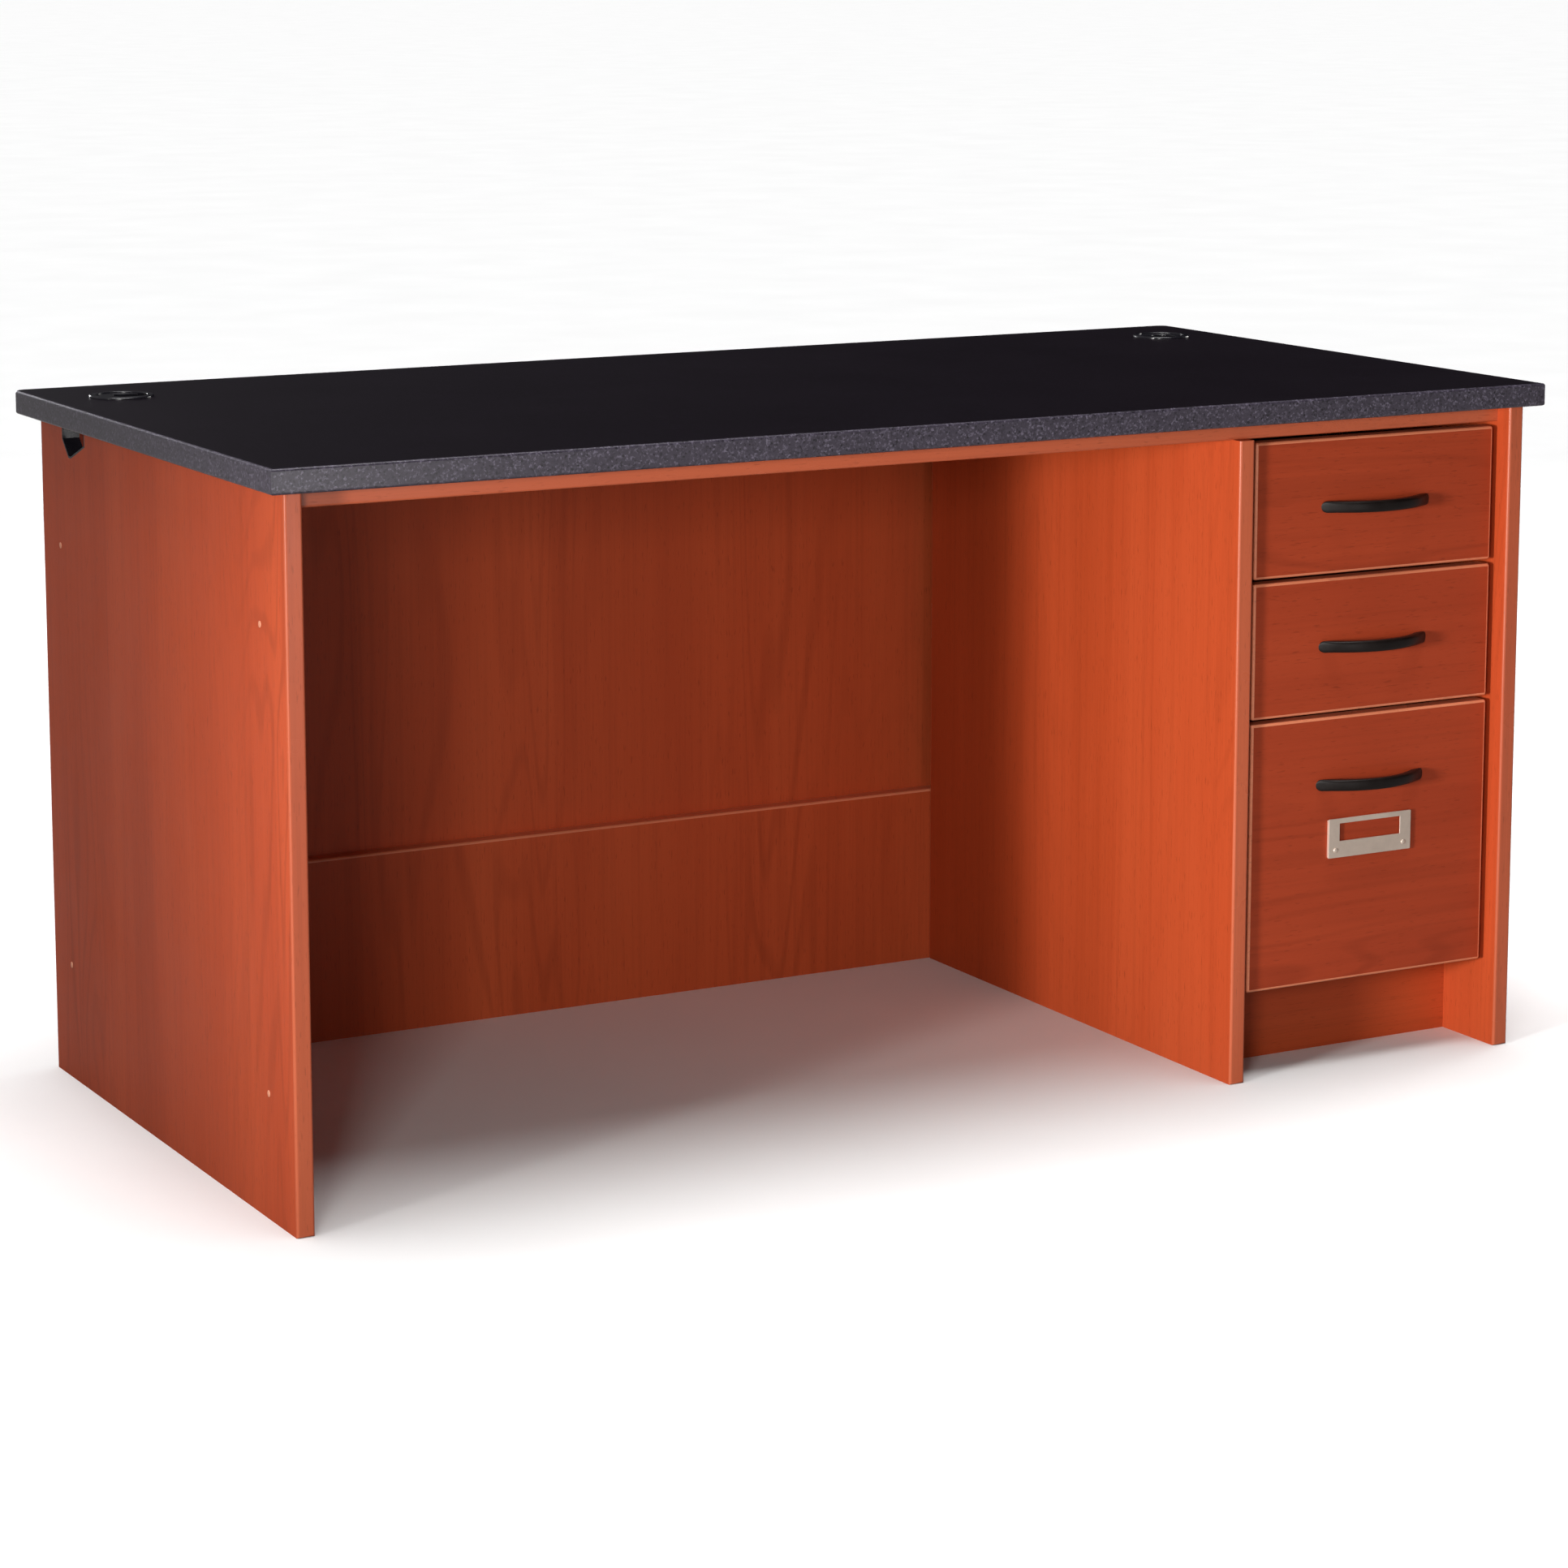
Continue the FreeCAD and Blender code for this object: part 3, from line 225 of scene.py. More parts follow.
def speckled(name, ground, pale_fleck, dark_fleck, fineness, roughness, amount, shine):
    """A stone-like laminate or band: a dark ground with fine pale and darker flecks."""
    tree = Tree(name)
    place = tree.coords((1.0, 1.0, 1.0))
    cells = tree.add("TexVoronoi", {"Vector": place, "Scale": fineness}, feature="F1")
    tone = tree.add("SeparateColor", {"Color": cells.outputs["Color"]}).outputs[0]
    fine = tree.noise(place, fineness * 1.1, 3.0, 0.65)
    pale = tree.math("MULTIPLY", tree.band(tone, 0.62, 0.95), tree.band(fine, 0.42, 0.62))
    black = tree.math("MULTIPLY", tree.band(tone, 0.3, 0.05), tree.band(fine, 0.6, 0.4))
    drift = tree.noise(place, 6.0, 3.0, 0.55)
    colour = tree.mix(tree.band(drift, 0.35, 0.7, 0.0, 0.35), ground,
                      tuple(channel * 1.25 for channel in ground))
    colour = tree.mix(tree.math("MULTIPLY", pale, amount), colour, pale_fleck)
    colour = tree.mix(tree.math("MULTIPLY", black, amount), colour, dark_fleck)
    tree.shade(Base_Color=colour, Specular_IOR_Level=shine,
               Roughness=tree.band(drift, 0.3, 0.7, roughness - 0.01, roughness + 0.02),
               Normal=tree.bump(fine, 0.18, 0.0002))
    return tree.material


def moulded(name, colour, roughness, grain=1400.0, relief=0.1, shine=0.5):
    """Moulded plastic or powder coat: a fine skin texture and handling marks."""
    tree = Tree(name)
    place = tree.coords((1.0, 1.0, 1.0))
    skin = tree.noise(place, grain, 2.0, 0.6)
    marks = tree.noise(place, 35.0, 4.0, 0.65)
    lighter = tuple(min(1.0, channel * 1.5 + 0.004) for channel in colour)
    tree.shade(Base_Color=tree.mix(tree.band(marks, 0.4, 0.75, 0.0, 0.6), colour, lighter),
               Roughness=tree.band(marks, 0.3, 0.7, roughness - 0.07, roughness + 0.1),
               Specular_IOR_Level=shine, Normal=tree.bump(skin, relief, 0.0002))
    return tree.material


def metal(name, colour, roughness, brushing, metallic=1.0):
    """Plated steel, brushed along one axis, with cloudy variation in its shine."""
    tree = Tree(name)
    lines = tree.noise(tree.coords(stretched(brushing, 1800.0, 18.0)), 1.0, 2.0, 0.6)
    clouds = tree.noise(tree.coords((22.0, 22.0, 22.0)), 1.0, 4.0, 0.6)
    shine = tree.math("ADD", tree.band(clouds, 0.3, 0.7, roughness - 0.06, roughness + 0.08),
                      tree.band(lines, 0.3, 0.7, -0.05, 0.05))
    darker = tuple(channel * 0.72 for channel in colour)
    tree.shade(Base_Color=tree.mix(tree.band(clouds, 0.35, 0.75, 0.0, 0.7), colour, darker),
               Metallic=metallic, Roughness=shine, Normal=tree.bump(lines, 0.1, 0.0001))
    return tree.material


def hardboard(name):
    """Smooth brown hardboard for the drawer bottoms."""
    tree = Tree(name)
    place = tree.coords((1.0, 1.0, 1.0))
    chips = tree.noise(place, 260.0, 4.0, 0.7)
    clouds = tree.noise(place, 9.0, 3.0, 0.5)
    colour = tree.ramp(chips, [(0.3, linear(112, 72, 48)), (0.5, linear(146, 100, 70)),
                               (0.72, linear(172, 126, 92))])
    colour = tree.mix(tree.band(clouds, 0.35, 0.7, 0.0, 0.4), colour, linear(120, 80, 54))
    tree.shade(Base_Color=colour, Roughness=tree.band(chips, 0.3, 0.7, 0.5, 0.68),
               Normal=tree.bump(chips, 0.15, 0.0002))
    return tree.material


CHERRY = (linear(177, 69, 33), linear(189, 76, 39), linear(198, 84, 45))
CHERRY_BACK = (linear(180, 74, 39), linear(192, 82, 44), linear(201, 90, 50))
CHERRY_FRONT = (linear(162, 60, 32), linear(172, 66, 36), linear(181, 72, 40))
CHERRY_BAND = (linear(184, 86, 55), linear(196, 95, 61), linear(207, 105, 69))
# The lightest band tone is the bands' own lighter colour, lifted further as a painted highlight, so
# the drawer-front frames and the top of the lower modesty band look like lit arrises.
CHERRY_BAND_PAINTED_HIGHLIGHT = (linear(218, 124, 88), linear(229, 136, 99), linear(238, 147, 110))

upright_wood = cherry("cherry_upright", "z", 1, CHERRY)
modesty_wood = cherry("cherry_modesty", "z", 4, CHERRY_BACK)
level_wood = cherry("cherry_level", "x", 7, CHERRY)
front_wood = {
    "top": cherry("cherry_front_top", "x", 11, CHERRY_FRONT),
    "middle": cherry("cherry_front_middle", "x", 17, CHERRY_FRONT),
    "file": cherry("cherry_front_file", "x", 23, CHERRY_FRONT),
}
upright_band = cherry("cherry_band_upright", "z", 31, CHERRY_BAND, 0.28, 0.5)
level_band = cherry("cherry_band_level", "x", 37, CHERRY_BAND, 0.28, 0.5)
band_with_painted_highlight = cherry("cherry_band_painted_highlight", "x", 41, CHERRY_BAND_PAINTED_HIGHLIGHT, 0.28, 0.5)
drawer_board = cherry("drawer_board", "y", 43, CHERRY_FRONT, 0.42)
laminate = speckled("graphite_laminate", linear(10, 3, 12), linear(29, 21, 35),
                    linear(5, 2, 6), 620.0, 0.4, 0.6, 0.15)
graphite_band = speckled("graphite_band", linear(58, 52, 64), linear(112, 105, 122),
                         linear(20, 16, 24), 430.0, 0.3, 1.0, 0.9)
black_plastic = moulded("black_plastic", (0.012, 0.011, 0.015), 0.2)
pull_coat = moulded("pull_coat", (0.007, 0.0045, 0.004), 0.36, 2200.0, 0.06, 0.25)
plug_plastic = moulded("plug_plastic", linear(226, 150, 118), 0.4)
nickel = metal("nickel", linear(248, 228, 212), 0.46, "x", 0.7)
zinc = metal("zinc", linear(214, 216, 222), 0.42, "y", 0.8)
screw_steel = metal("screw_steel", linear(176, 176, 182), 0.3, "x")
base_board = hardboard("drawer_base")


# ------------------------------------------------------------------ mesh helpers

def finish_mesh(bm, name, body, material, sharp=40.0):
    """Turns the bmesh into an object that rides on a body, with clean normals."""
    bmesh.ops.remove_doubles(bm, verts=bm.verts, dist=WELD)
    bmesh.ops.recalc_face_normals(bm, faces=bm.faces)
    mesh = bpy.data.meshes.new(name)
    bm.to_mesh(mesh)
    bm.free()
    mesh.polygons.foreach_set("use_smooth", [True] * len(mesh.polygons))
    mesh.set_sharp_from_angle(angle=math.radians(sharp))
    piece = bpy.data.objects.new(name, mesh)
    bpy.context.scene.collection.objects.link(piece)
    mesh.materials.append(material)
    weighted = piece.modifiers.new("even_normals", "WEIGHTED_NORMAL")
    weighted.keep_sharp = True
    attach(piece, body)
    return piece


def add_box(bm, low, high, rounded=None):
    """A box whose edges that pass the test rounded(direction, middle) are rounded off."""
    made = bmesh.ops.create_cube(bm, size=1.0)
    size = [high[axis] - low[axis] for axis in range(3)]
    centre = [(high[axis] + low[axis]) / 2 for axis in range(3)]
    for vert in made["verts"]:
        vert.co = Vector([centre[axis] + vert.co[axis] * size[axis] for axis in range(3)])
    if rounded is None:
        return
    edges = dict.fromkeys(edge for vert in made["verts"] for edge in vert.link_edges)
    chosen = []
    for edge in edges:
        run = edge.verts[1].co - edge.verts[0].co
        direction = "xyz"[max(range(3), key=lambda axis: abs(run[axis]))]
        if rounded(direction, (edge.verts[0].co + edge.verts[1].co) / 2):
            chosen.append(edge)
    bmesh.ops.bevel(bm, geom=chosen, offset=ARRIS, segments=ARRIS_STEPS, profile=0.5,
                    affect="EDGES", clamp_overlap=True)
    # The bevel can leave the faces in another order on each run, so they are put in order
    # of place.
    in_order = sorted(bm.faces, key=lambda face: tuple(face.calc_center_median()))
    for index, face in enumerate(in_order):
        face.index = index
    bm.faces.sort()


def add_loft(bm, rings, round_again=False):
    """Quads between successive rings of points. The two end rings are filled, or the last
    is joined to the first."""
    made = [[bm.verts.new(point) for point in ring] for ring in rings]
    pairs = list(zip(made, made[1:]))
    if round_again:
        pairs.append((made[-1], made[0]))
    else:
        bm.faces.new(made[0])
        bm.faces.new(list(reversed(made[-1])))
    count = len(made[0])
    for near, far in pairs:
        for index in range(count):
            after = (index + 1) % count
            bm.faces.new((near[index], near[after], far[after], far[index]))


def add_turned(bm, profile, place, steps):
    """A closed profile of (radius, height) turned round an axis; place maps it to the row."""
    turns = [2 * math.pi * step / steps for step in range(steps)]
    add_loft(bm, [[place(radius * math.cos(angle), radius * math.sin(angle), height)
                   for radius, height in profile] for angle in turns], round_again=True)


def ellipse_quarter(wide, tall):
    """Points down a quarter of an ellipse, from near its top to its foot."""
    turns = [math.pi / 2 * step / DOME_STEPS for step in range(1, DOME_STEPS + 1)]
    return [(wide * math.sin(angle), tall * math.cos(angle)) for angle in turns]


def add_dome(bm, size, foot, rise, place, steps):
    """A shallow dome on a low upright foot: rings under one middle point."""
    profile = [(u, foot + v) for u, v in ellipse_quarter(size, rise)]
    top = bm.verts.new(place(0.0, 0.0, profile[0][1] + (profile[0][1] - profile[1][1]) / 4))
    rings = []
    for radius, height in profile + [(profile[-1][0], 0.0)]:
        rings.append([bm.verts.new(place(radius * math.cos(2 * math.pi * step / steps),
                                         radius * math.sin(2 * math.pi * step / steps), height))
                      for step in range(steps)])
    for step in range(steps):
        bm.faces.new((top, rings[0][step], rings[0][(step + 1) % steps]))
    for near, far in zip(rings, rings[1:]):
        for step in range(steps):
            after = (step + 1) % steps
            bm.faces.new((near[step], far[step], far[after], near[after]))
    bm.faces.new(list(reversed(rings[-1])))


def quarter(centre, radius, start, steps=ARRIS_STEPS):
    """Points of a quarter turn about the centre, from the start angle in degrees."""
    points = []
    for step in range(steps + 1):
        angle = math.radians(start + 90 * step / steps)
        points.append((centre[0] + radius * math.cos(angle),
                       centre[1] + radius * math.sin(angle)))
    return points


def rounded_outline(left, right, bottom, top, bend, steps):
    """The outline of an upright rectangle with rounded corners, as (x, z) points."""
    points = []
    for x, z, start in ((right - bend, top - bend, 0), (left + bend, top - bend, 90),
                        (left + bend, bottom + bend, 180), (right - bend, bottom + bend, 270)):
        points += quarter((x, z), bend, start, steps)
    return points


# ----------------------------------------------------------------- worktop bands

def worktop_bands():
    """The straight front band, and the one that wraps both sides and the rear."""
    low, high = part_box("worktop_band_front")
    bm = bmesh.new()
    back = high.y

    def outer(direction, point):
        level = abs(point.z - low.z) < TOUCH or abs(point.z - high.z) < TOUCH
        return direction != "z" and level and abs(point.y - back) > TOUCH

    add_box(bm, low, high, outer)
    piece = finish_mesh(bm, "worktop_front_band", "desk", graphite_band)
    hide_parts("worktop_band_front")

    low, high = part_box("worktop_band_wrap")
    corner = REAR_CORNER
    path = [(low.x, low.y, 1, 0)]
    for x, start in ((low.x + corner, 180), (high.x - corner, 90)):
        for step in range(CORNER_STEPS + 1):
            angle = math.radians(start - 90 * step / CORNER_STEPS)
            path.append((x + corner * math.cos(angle), high.y - corner + corner * math.sin(angle),
                         -math.cos(angle), -math.sin(angle)))
    path.append((high.x, low.y, -1, 0))
    section = [(BAND, low.z)]
    section += [(ARRIS - u, low.z + ARRIS - v)
                for u, v in reversed(quarter((0, 0), ARRIS, 0))]
    section += [(ARRIS - u, high.z - ARRIS + v) for u, v in quarter((0, 0), ARRIS, 0)]
    section += [(BAND, high.z)]
    bm = bmesh.new()
    add_loft(bm, [[(x + nx * inset, y + ny * inset, z) for inset, z in section]
                  for x, y, nx, ny in path])
    piece = finish_mesh(bm, "worktop_wrap_band", "desk", graphite_band)
    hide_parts("worktop_band_wrap")


# ------------------------------------------------------------------ board bands

def upright_bands(node, name):
    """The front and rear bands of an upright, with rounded arrises and a soft foot."""
    low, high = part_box(node)
    bm = bmesh.new()
    under_rail = node == "pedestal_inner_bands"
    front_top = min(high.z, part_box("front_rail")[0].z) if under_rail else high.z
    for start, finish, face, top in ((low.y, low.y + BAND, low.y, front_top),
                                     (high.y - BAND, high.y, high.y, high.z)):
        def outer(direction, point, face=face):
            foot = direction == "x" and abs(point.z - low.z) < TOUCH
            return (direction == "z" or foot) and abs(point.y - face) < TOUCH

        add_box(bm, (low.x, start, low.z), (high.x, finish, top), outer)
    piece = finish_mesh(bm, name, "desk", upright_band)
    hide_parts(node)


def level_bands():
    """The bands along the front rail and along the top of the lower modesty panel."""
    low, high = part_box("front_rail_band")
    bm = bmesh.new()
    add_box(bm, low, high, lambda direction, point: direction == "x"
            and abs(point.y - low.y) < TOUCH)
    piece = finish_mesh(bm, "rail_band", "desk", level_band)
    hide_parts("front_rail_band")
    low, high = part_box("lower_modesty_band")
    bm = bmesh.new()
    add_box(bm, low, high, lambda direction, point: direction == "x"
            and abs(point.z - high.z) < TOUCH and abs(point.y - low.y) < TOUCH)
    # The lightened band tone is a painted highlight along the top arris of the lower modesty panel.
    piece = finish_mesh(bm, "modesty_band", "desk", band_with_painted_highlight)
    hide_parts("lower_modesty_band")


def front_ring(name):
    """The band round a drawer front: rounded corners, rounded front arris."""
    node = f"{name}_drawer_front_band"
    low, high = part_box(node)
    section = [(BAND, high.y)]
    section += [(FRONT_BACK_ROUND - u, high.y - FRONT_BACK_ROUND + v)
                for u, v in reversed(quarter((0, 0), FRONT_BACK_ROUND, 0, FRONT_BACK_STEPS))]
    section += [(ARRIS - u, low.y + ARRIS - v) for u, v in quarter((0, 0), ARRIS, 0)]
    section += [(BAND, low.y)]
    bm = bmesh.new()
    rings = []
    for inset, y in section:
        outline = rounded_outline(low.x + inset, high.x - inset, low.z + inset, high.z - inset,
                                  max(FRONT_CORNER - inset, 0.0), ARRIS_STEPS)
        rings.append([(x, y, z) for x, z in outline])
    add_loft(bm, rings, round_again=True)
    # The lightened band tone is a painted highlight round the drawer front's arris.
    piece = finish_mesh(bm, f"{name}_front_ring", f"{name}_drawer",
                        band_with_painted_highlight)
    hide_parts(node)


# ------------------------------------------------------------------------- pulls

def bow(x, length, rise):
    """How far an arc of that length and rise stands off the front at x."""
    half = length / 2
    if abs(x) >= half:
        return 0.0
    radius = (half * half + rise * rise) / (2 * rise)
    return math.sqrt(radius * radius - x * x) - (radius - rise)


def squared(value):
    """A cosine or sine pushed outward, so that a circle of them becomes a rounded square."""
    return math.copysign(abs(value) ** PULL_SQUARENESS, value)


def pull(name):
    """A bowed bar that closes on the drawer front at both ends."""
    low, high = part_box(f"{name}_drawer_pull")
    centre_x, centre_z = (low.x + high.x) / 2, (low.z + high.z) / 2
    face = high.y
    length, half_height = high.x - low.x, (high.z - low.z) / 2
    reach = face - low.y
    bm = bmesh.new()
    rings = []
    for index in range(PULL_STATIONS + 1):
        x = -length / 2 * math.cos(math.pi * index / PULL_STATIONS) * PULL_ENDS
        outer = bow(x, length, reach)
        inner = bow(x, PULL_INNER_LENGTH, PULL_CLEAR)
        over = max(abs(x) - (length / 2 - half_height), 0.0)
        tall = math.sqrt(max(half_height ** 2 - over ** 2, 0.0))
        depth = (outer - inner) / 2
        middle = face - (outer + inner) / 2
        ring = []
        for step in range(PULL_SIDES):
            angle = 2 * math.pi * step / PULL_SIDES
            ring.append((centre_x + x, middle + depth * squared(math.cos(angle)),
                         centre_z + tall * squared(math.sin(angle))))
        rings.append(ring)
    add_loft(bm, rings)
    piece = finish_mesh(bm, f"{name}_bow_pull", f"{name}_drawer", pull_coat, 75.0)
    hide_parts(f"{name}_drawer_pull")


# ------------------------------------------------------------------ label holder

def label_holder():
    """A pressed plate with a window, on folded flanges at its sides and foot."""
    low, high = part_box("label_holder")
    steel, soft, corner = LABEL_STEEL, LABEL_SOFT, LABEL_CORNER
    window_low = (low.x + LABEL_BORDER, low.z + LABEL_WINDOW_LOW)
    window_high = (high.x - LABEL_BORDER, window_low[1] + LABEL_WINDOW_HEIGHT)
    bm = bmesh.new()

    def outer(inset):
        return rounded_outline(low.x + inset, high.x - inset, low.z + inset, high.z - inset,
                               max(corner - inset, LABEL_LEAST_CORNER), LABEL_STEPS)

    def window(inset):
        return rounded_outline(window_low[0] - inset, window_high[0] + inset,
                               window_low[1] - inset, window_high[1] + inset,
                               LABEL_WINDOW_CORNER + inset, LABEL_STEPS)

    # From the back of the plate round its outside, over the front and into the window.
    rings = [[(x, low.y + steel, z) for x, z in outer(0.0)],
             [(x, low.y + soft, z) for x, z in outer(0.0)],
             [(x, low.y + soft * 0.3, z) for x, z in outer(soft * 0.3)],
             [(x, low.y, z) for x, z in outer(soft)],
             [(x, low.y, z) for x, z in window(soft)],
             [(x, low.y + soft * 0.3, z) for x, z in window(soft * 0.3)],
             [(x, low.y + soft, z) for x, z in window(0.0)],
             [(x, low.y + steel, z) for x, z in window(0.0)]]
    add_loft(bm, rings, round_again=True)
    back = high.y
    for flange_low, flange_high in (
            ((low.x, low.y + steel, low.z + corner), (low.x + steel, back, high.z - corner)),
            ((high.x - steel, low.y + steel, low.z + corner), (high.x, back, high.z - corner)),
            ((low.x + corner, low.y + steel, low.z), (high.x - corner, back, low.z + steel))):
        add_box(bm, flange_low, flange_high)
    piece = finish_mesh(bm, "label_frame", "file_drawer", nickel, 50.0)
    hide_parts("label_holder")


def label_pins():
    low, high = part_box("label_holder_pins")
    radius = (high.z - low.z) / 2
    head = PIN_HEAD
    bm = bmesh.new()
    for x in (low.x + radius, high.x - radius):
        def place(u, v, height, x=x):
            return x + u, low.y + head - height, (low.z + high.z) / 2 + v

        add_dome(bm, radius, 0.08 * head, 0.92 * head, place, PIN_STEPS)
    piece = finish_mesh(bm, "label_pin_heads", "file_drawer", nickel, 60.0)
    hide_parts("label_holder_pins")


# ----------------------------------------------------------------------- grommets

def grommets():
    """The fixed ring of each grommet, then its cap."""
    for side in ("left", "right"):
        low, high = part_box(f"grommet_sleeve_{side}")
        centre = ((low.x + high.x) / 2, (low.y + high.y) / 2)
        top, floor = high.z, low.z
        surface = top - FLANGE_THICK
        flange, tube, bore = (high.x - low.x) / 2, SLEEVE_RADIUS, SLEEVE_BORE
        lip, rim = FLANGE_LIP, BORE_RIM
        profile = [(bore, floor), (tube, floor), (tube, surface), (flange, surface)]
        profile += [(flange - lip + u, top - lip + v) for u, v in quarter((0, 0), lip, 0)]
        profile += [(bore + rim + u, top - rim + v) for u, v in quarter((0, 0), rim, 90)]
        bm = bmesh.new()
        add_turned(bm, profile, lambda u, v, height: (centre[0] + u, centre[1] + v, height),
                   SLEEVE_STEPS)
        piece = finish_mesh(bm, f"grommet_ring_{side}", "desk", black_plastic,
                            50.0)
        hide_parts(f"grommet_sleeve_{side}")
        grommet_cap(side, centre, surface)


def past_the_slot(half_opening, turns):
    """Angles round a cap from one side of its slot to the other, the long way."""
    sweep = 2 * math.pi - 2 * half_opening
    return [half_opening + sweep * step / turns for step in range(turns + 1)]


def grommet_cap(side, centre, surface):
    """The turning cap: a disc with a slot open to its rim, over a slotted skirt."""
    def outline(inset):
        rim, half = CAP_RADIUS - inset, SLOT_RADIUS + inset
        points = [(rim * math.cos(angle), rim * math.sin(angle))
                  for angle in past_the_slot(math.asin(half / rim), CAP_STEPS)]
        for step in range(SLOT_STEPS + 1):
            angle = math.radians(-90 - 180 * step / SLOT_STEPS)
            points.append((SLOT_OFFSET + half * math.cos(angle), half * math.sin(angle)))
        return points

    def place(u, v, height):
        if side == "left":
            return centre[0] + u, centre[1] + v, surface + height
        return centre[0] + v, centre[1] - u, surface + height

    bm = bmesh.new()
    steps = [(0.0, CAP_SUNK - CAP_THICK), (0.0, CAP_SUNK - CAP_SOFT),
             (CAP_SOFT * 0.3, CAP_SUNK - CAP_SOFT * 0.3), (CAP_SOFT, CAP_SUNK)]
    add_loft(bm, [[place(u, v, height) for u, v in outline(inset)] for inset, height in steps])
    underside = CAP_SUNK - CAP_THICK
    foot = underside - SKIRT_DROP
    wall = ((SKIRT_INNER, underside), (SKIRT_OUTER, underside), (SKIRT_OUTER, foot),
            (SKIRT_INNER, foot))
    slot_clear = math.asin(SLOT_RADIUS / SKIRT_INNER) + SKIRT_GAP
    add_loft(bm, [[place(radius * math.cos(angle), radius * math.sin(angle), height)
                   for radius, height in wall] for angle in past_the_slot(slot_clear, SKIRT_STEPS)])
    piece = finish_mesh(bm, f"grommet_lid_{side}", f"cap_{side}", black_plastic,
                        45.0)
    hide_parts(f"grommet_cap_{side}")


# --------------------------------------------------------------------------- plugs

def end_plugs():
    """Shallow domed caps over the fixing holes of both end panels."""
    low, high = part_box("end_panel_plugs")
    radius, proud = PLUG_RADIUS, PLUG_THICK
    bm = bmesh.new()
    for x, outward in ((low.x + proud, -1), (high.x - proud, 1)):
        for y in (low.y + radius, high.y - radius):
            for z in (low.z + radius, high.z - radius):
                def place(u, v, height, x=x, y=y, z=z, outward=outward):
                    return x + outward * height, y + u, z + v

                add_dome(bm, radius, 0.25 * proud, 0.7 * proud, place, PLUG_STEPS)
    piece = finish_mesh(bm, "hole_plugs", "desk", plug_plastic, 60.0)
    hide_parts("end_panel_plugs")


# ------------------------------------------------------- boards kept from the frame

def dress_boards():
    """Materials for the pieces that keep the frame's own meshes."""
    looks = {
        "worktop_panel": laminate,
        "left_end_panel": upright_wood, "right_end_panel": upright_wood,
        "pedestal_inner_panel": upright_wood,
        "upper_modesty_panel": modesty_wood, "lower_modesty_panel": modesty_wood,
        "front_rail": level_wood, "kick_panel": level_wood, "pedestal_bottom_panel": level_wood,
        "cable_port_liner": black_plastic,
        "cam_bolts": screw_steel, "cam_locks": screw_steel, "slide_screws": screw_steel,
        "top_brackets": zinc, "top_bracket_screws": screw_steel, "hanging_file_rails": zinc,
    }
    for name in ("top", "middle", "file"):
        looks[f"{name}_drawer_front"] = front_wood[name]
        looks[f"{name}_drawer_sides"] = drawer_board
        looks[f"{name}_drawer_back"] = drawer_board
        looks[f"{name}_drawer_bottom"] = base_board
        looks[f"{name}_pull_screws"] = screw_steel
        for member in ("outer", "middle", "inner"):
            looks[f"{name}_slide_{member}"] = zinc
    for node, material in looks.items():
        mesh = NODES[node].data
        mesh.materials.clear()
        mesh.materials.append(material)


# -------------------------------------------------------------------------- studio

def studio():
    floor_tree = Tree("studio_floor")
    place = floor_tree.coords((1.0, 1.0, 1.0))
    dust = floor_tree.noise(place, 3.0, 3.0, 0.5)
    pale = floor_tree.mix(floor_tree.band(dust, 0.3, 0.7), (0.89, 0.89, 0.89), (0.92, 0.92, 0.92))
    seen = floor_tree.add("LightPath").outputs["Is Camera Ray"]
    floor_tree.shade(Base_Color=floor_tree.mix(seen, (0.22, 0.215, 0.21), pale),
                     Roughness=0.9, Specular_IOR_Level=0.1)
    bm = bmesh.new()
    reach = 60.0
    bm.faces.new([bm.verts.new(corner) for corner in (
        (-reach, -reach, 0), (reach, -reach, 0), (reach, reach, 0), (-reach, reach, 0))])
    mesh = bpy.data.meshes.new("studio_floor")
    bm.to_mesh(mesh)
    bm.free()
    floor = bpy.data.objects.new("studio_floor", mesh)
    mesh.materials.append(floor_tree.material)
    bpy.context.scene.collection.objects.link(floor)
    surroundings()
    add_sun("overhead", 3.1, 40.0)
    add_light("key", (-2.9, -3.9, 1.3), (0.2, 0.0, 0.4), 0.8, 72.0, (1.0, 0.985, 0.96))
    add_light("low_fill", (0.25, -3.6, 0.3), (-0.3, 0.0, 0.7), 0.35, 5.0, (1.0, 0.99, 0.98))
    add_light("rear_fill", (-0.5, 4.2, 1.1), (0.0, 0.2, 0.4), 1.1, 34.0, (0.97, 0.98, 1.0))
    add_light("right_fill", (4.4, 1.0, 1.3), (0.7, 0.0, 0.4), 1.4, 52.0, (1.0, 0.99, 0.97))
    add_spot("side_beam", (-5.0, -2.2, 0.8), (0.9, -0.5, 0.45), 24.0, 1350.0, (1.0, 0.98, 0.95))


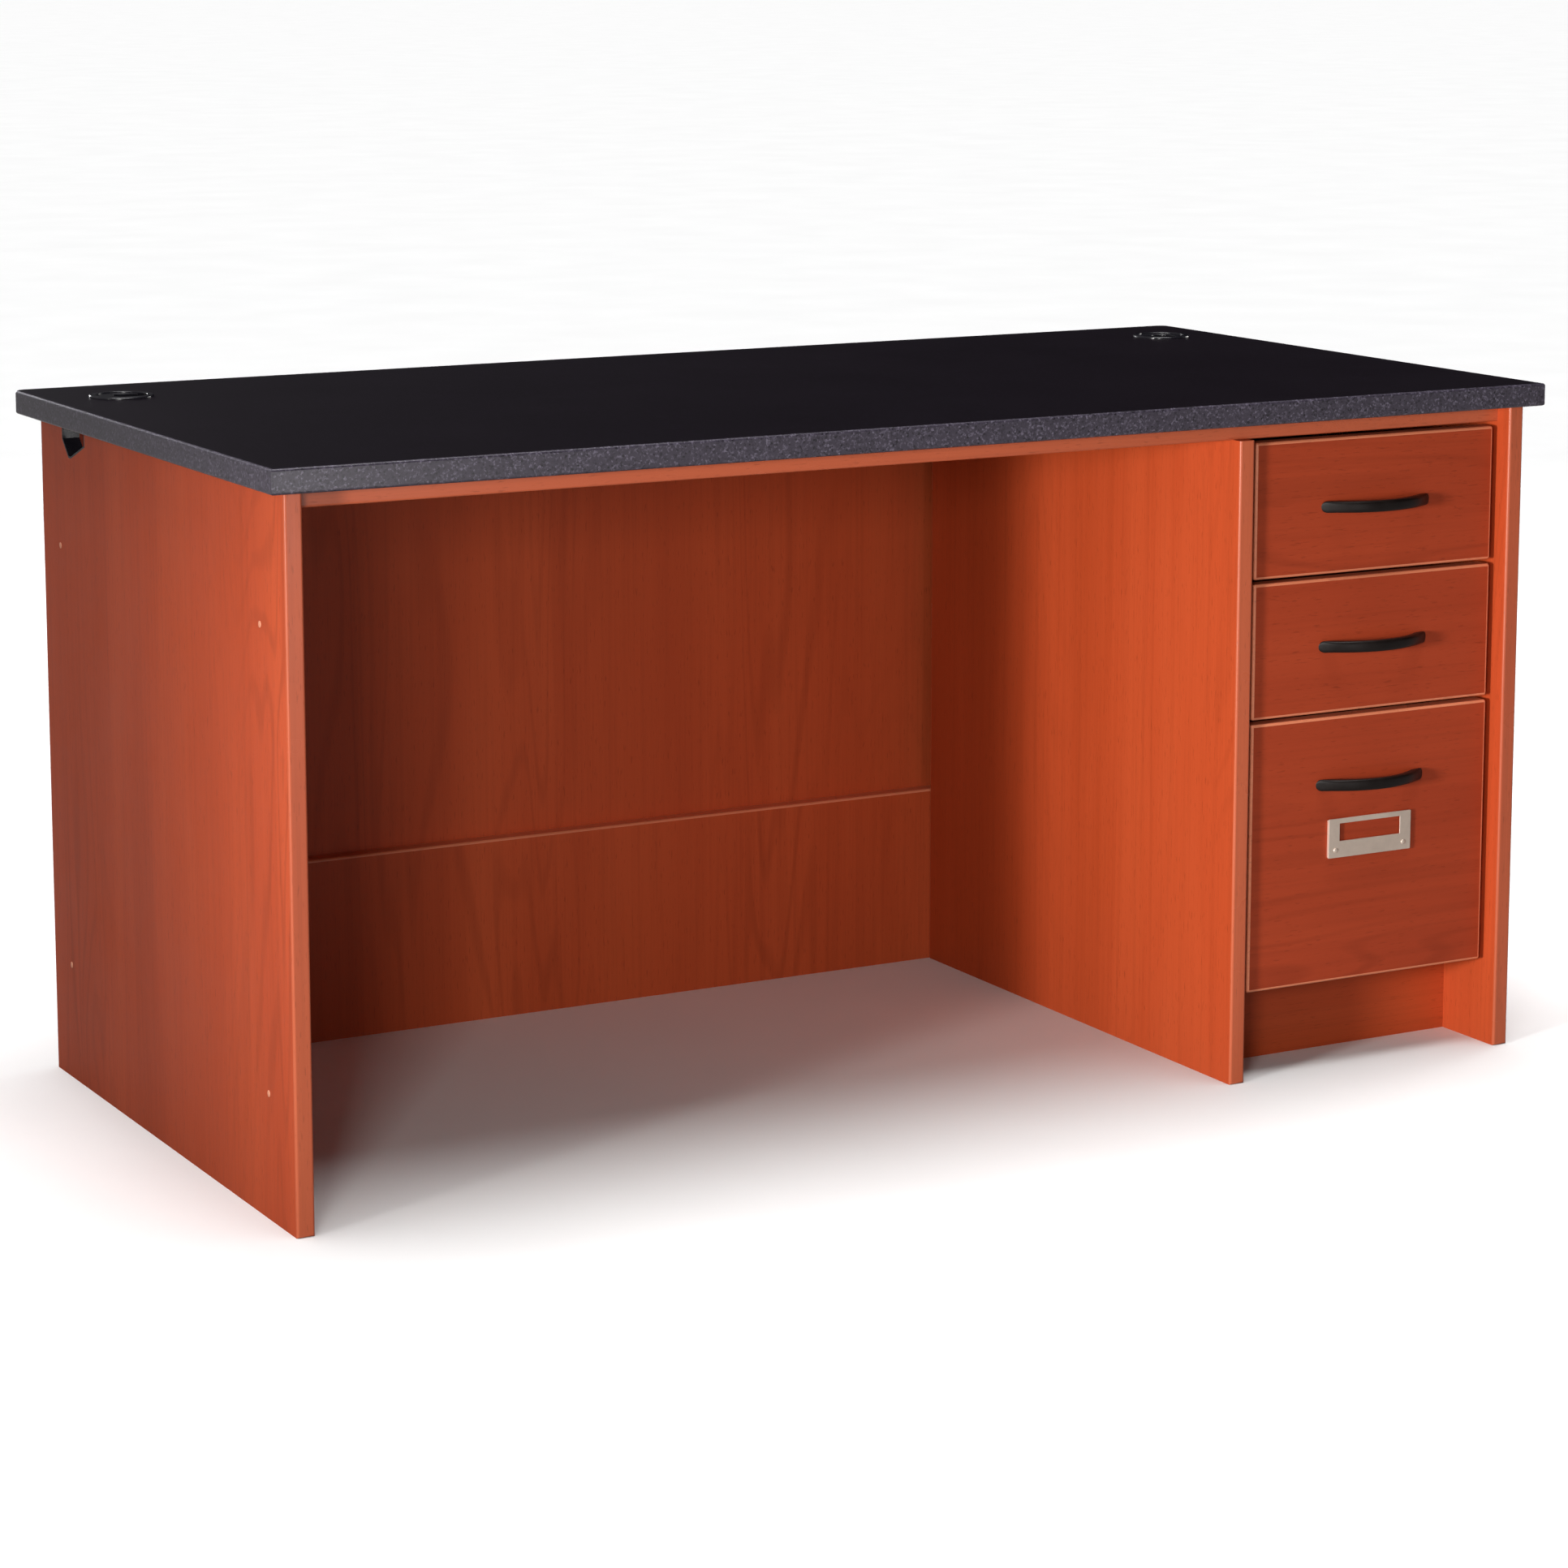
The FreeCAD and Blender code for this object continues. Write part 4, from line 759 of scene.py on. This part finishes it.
def surroundings():
    """A white backdrop to the camera that lights the desk as a dim room, brighter on the
    side of the key light."""
    world = bpy.data.worlds.new("studio")
    world.use_nodes = True
    nodes, links = world.node_tree.nodes, world.node_tree.links
    backdrop = nodes["Background"]
    backdrop.inputs["Color"].default_value = (1.0, 1.0, 1.0, 1.0)
    backdrop.inputs["Strength"].default_value = 1.05
    room = nodes.new("ShaderNodeBackground")
    side = nodes.new("ShaderNodeVectorMath")
    side.operation = "DOT_PRODUCT"
    side.inputs[1].default_value = (-1.0, 0.0, 0.2)
    links.new(nodes.new("ShaderNodeTexCoord").outputs["Generated"], side.inputs[0])
    level = nodes.new("ShaderNodeMapRange")
    level.inputs["From Min"].default_value = -0.5
    level.inputs["From Max"].default_value = 1.0
    level.inputs["To Min"].default_value = 0.0
    level.inputs["To Max"].default_value = 0.36
    links.new(side.outputs["Value"], level.inputs["Value"])
    links.new(level.outputs["Result"], room.inputs["Strength"])
    choose = nodes.new("ShaderNodeMixShader")
    links.new(nodes.new("ShaderNodeLightPath").outputs["Is Camera Ray"], choose.inputs[0])
    links.new(room.outputs[0], choose.inputs[1])
    links.new(backdrop.outputs[0], choose.inputs[2])
    links.new(choose.outputs[0], nodes["World Output"].inputs["Surface"])
    bpy.context.scene.world = world


def add_sun(name, power, spread):
    light = bpy.data.lights.new(name, "SUN")
    light.energy = power
    light.angle = math.radians(spread)
    holder = bpy.data.objects.new(name, light)
    holder.location = (0.0, 0.0, 6.0)
    bpy.context.scene.collection.objects.link(holder)


def add_light(name, spot, aim, size, power, colour):
    light = bpy.data.lights.new(name, "AREA")
    light.shape = "SQUARE"
    light.size = size
    place_light(light, spot, aim, power, colour)


def add_spot(name, spot, aim, cone, power, colour):
    light = bpy.data.lights.new(name, "SPOT")
    light.spot_size = math.radians(cone)
    light.spot_blend = 1.0
    light.shadow_soft_size = 0.35
    place_light(light, spot, aim, power, colour)


def place_light(light, spot, aim, power, colour):
    light.energy = power
    light.color = colour
    holder = bpy.data.objects.new(light.name, light)
    holder.location = spot
    holder.rotation_mode = "QUATERNION"
    holder.rotation_quaternion = (Vector(aim) - Vector(spot)).to_track_quat("-Z", "Y")
    holder.visible_camera = False
    bpy.context.scene.collection.objects.link(holder)


def camera():
    yaw, pitch = math.radians(28.76), math.radians(8.87)
    forward = Vector((math.sin(yaw) * math.cos(pitch), math.cos(yaw) * math.cos(pitch),
                      -math.sin(pitch)))
    data = bpy.data.cameras.new("camera")
    data.sensor_width = 36.0
    data.lens = 95.91
    data.shift_y = -0.14
    data.clip_end = 100.0
    holder = bpy.data.objects.new("camera", data)
    holder.location = (-2.220, -4.045, 1.282)
    holder.rotation_mode = "QUATERNION"
    holder.rotation_quaternion = forward.to_track_quat("-Z", "Y")
    bpy.context.scene.collection.objects.link(holder)
    bpy.context.scene.camera = holder
    bpy.context.scene.view_settings.view_transform = "Standard"


worktop_bands()
upright_bands("left_end_bands", "left_edge_bands")
upright_bands("right_end_bands", "right_edge_bands")
upright_bands("pedestal_inner_bands", "inner_edge_bands")
level_bands()
for drawer in ("top", "middle", "file"):
    front_ring(drawer)
    pull(drawer)
label_holder()
label_pins()
grommets()
end_plugs()
dress_boards()
studio()
camera()
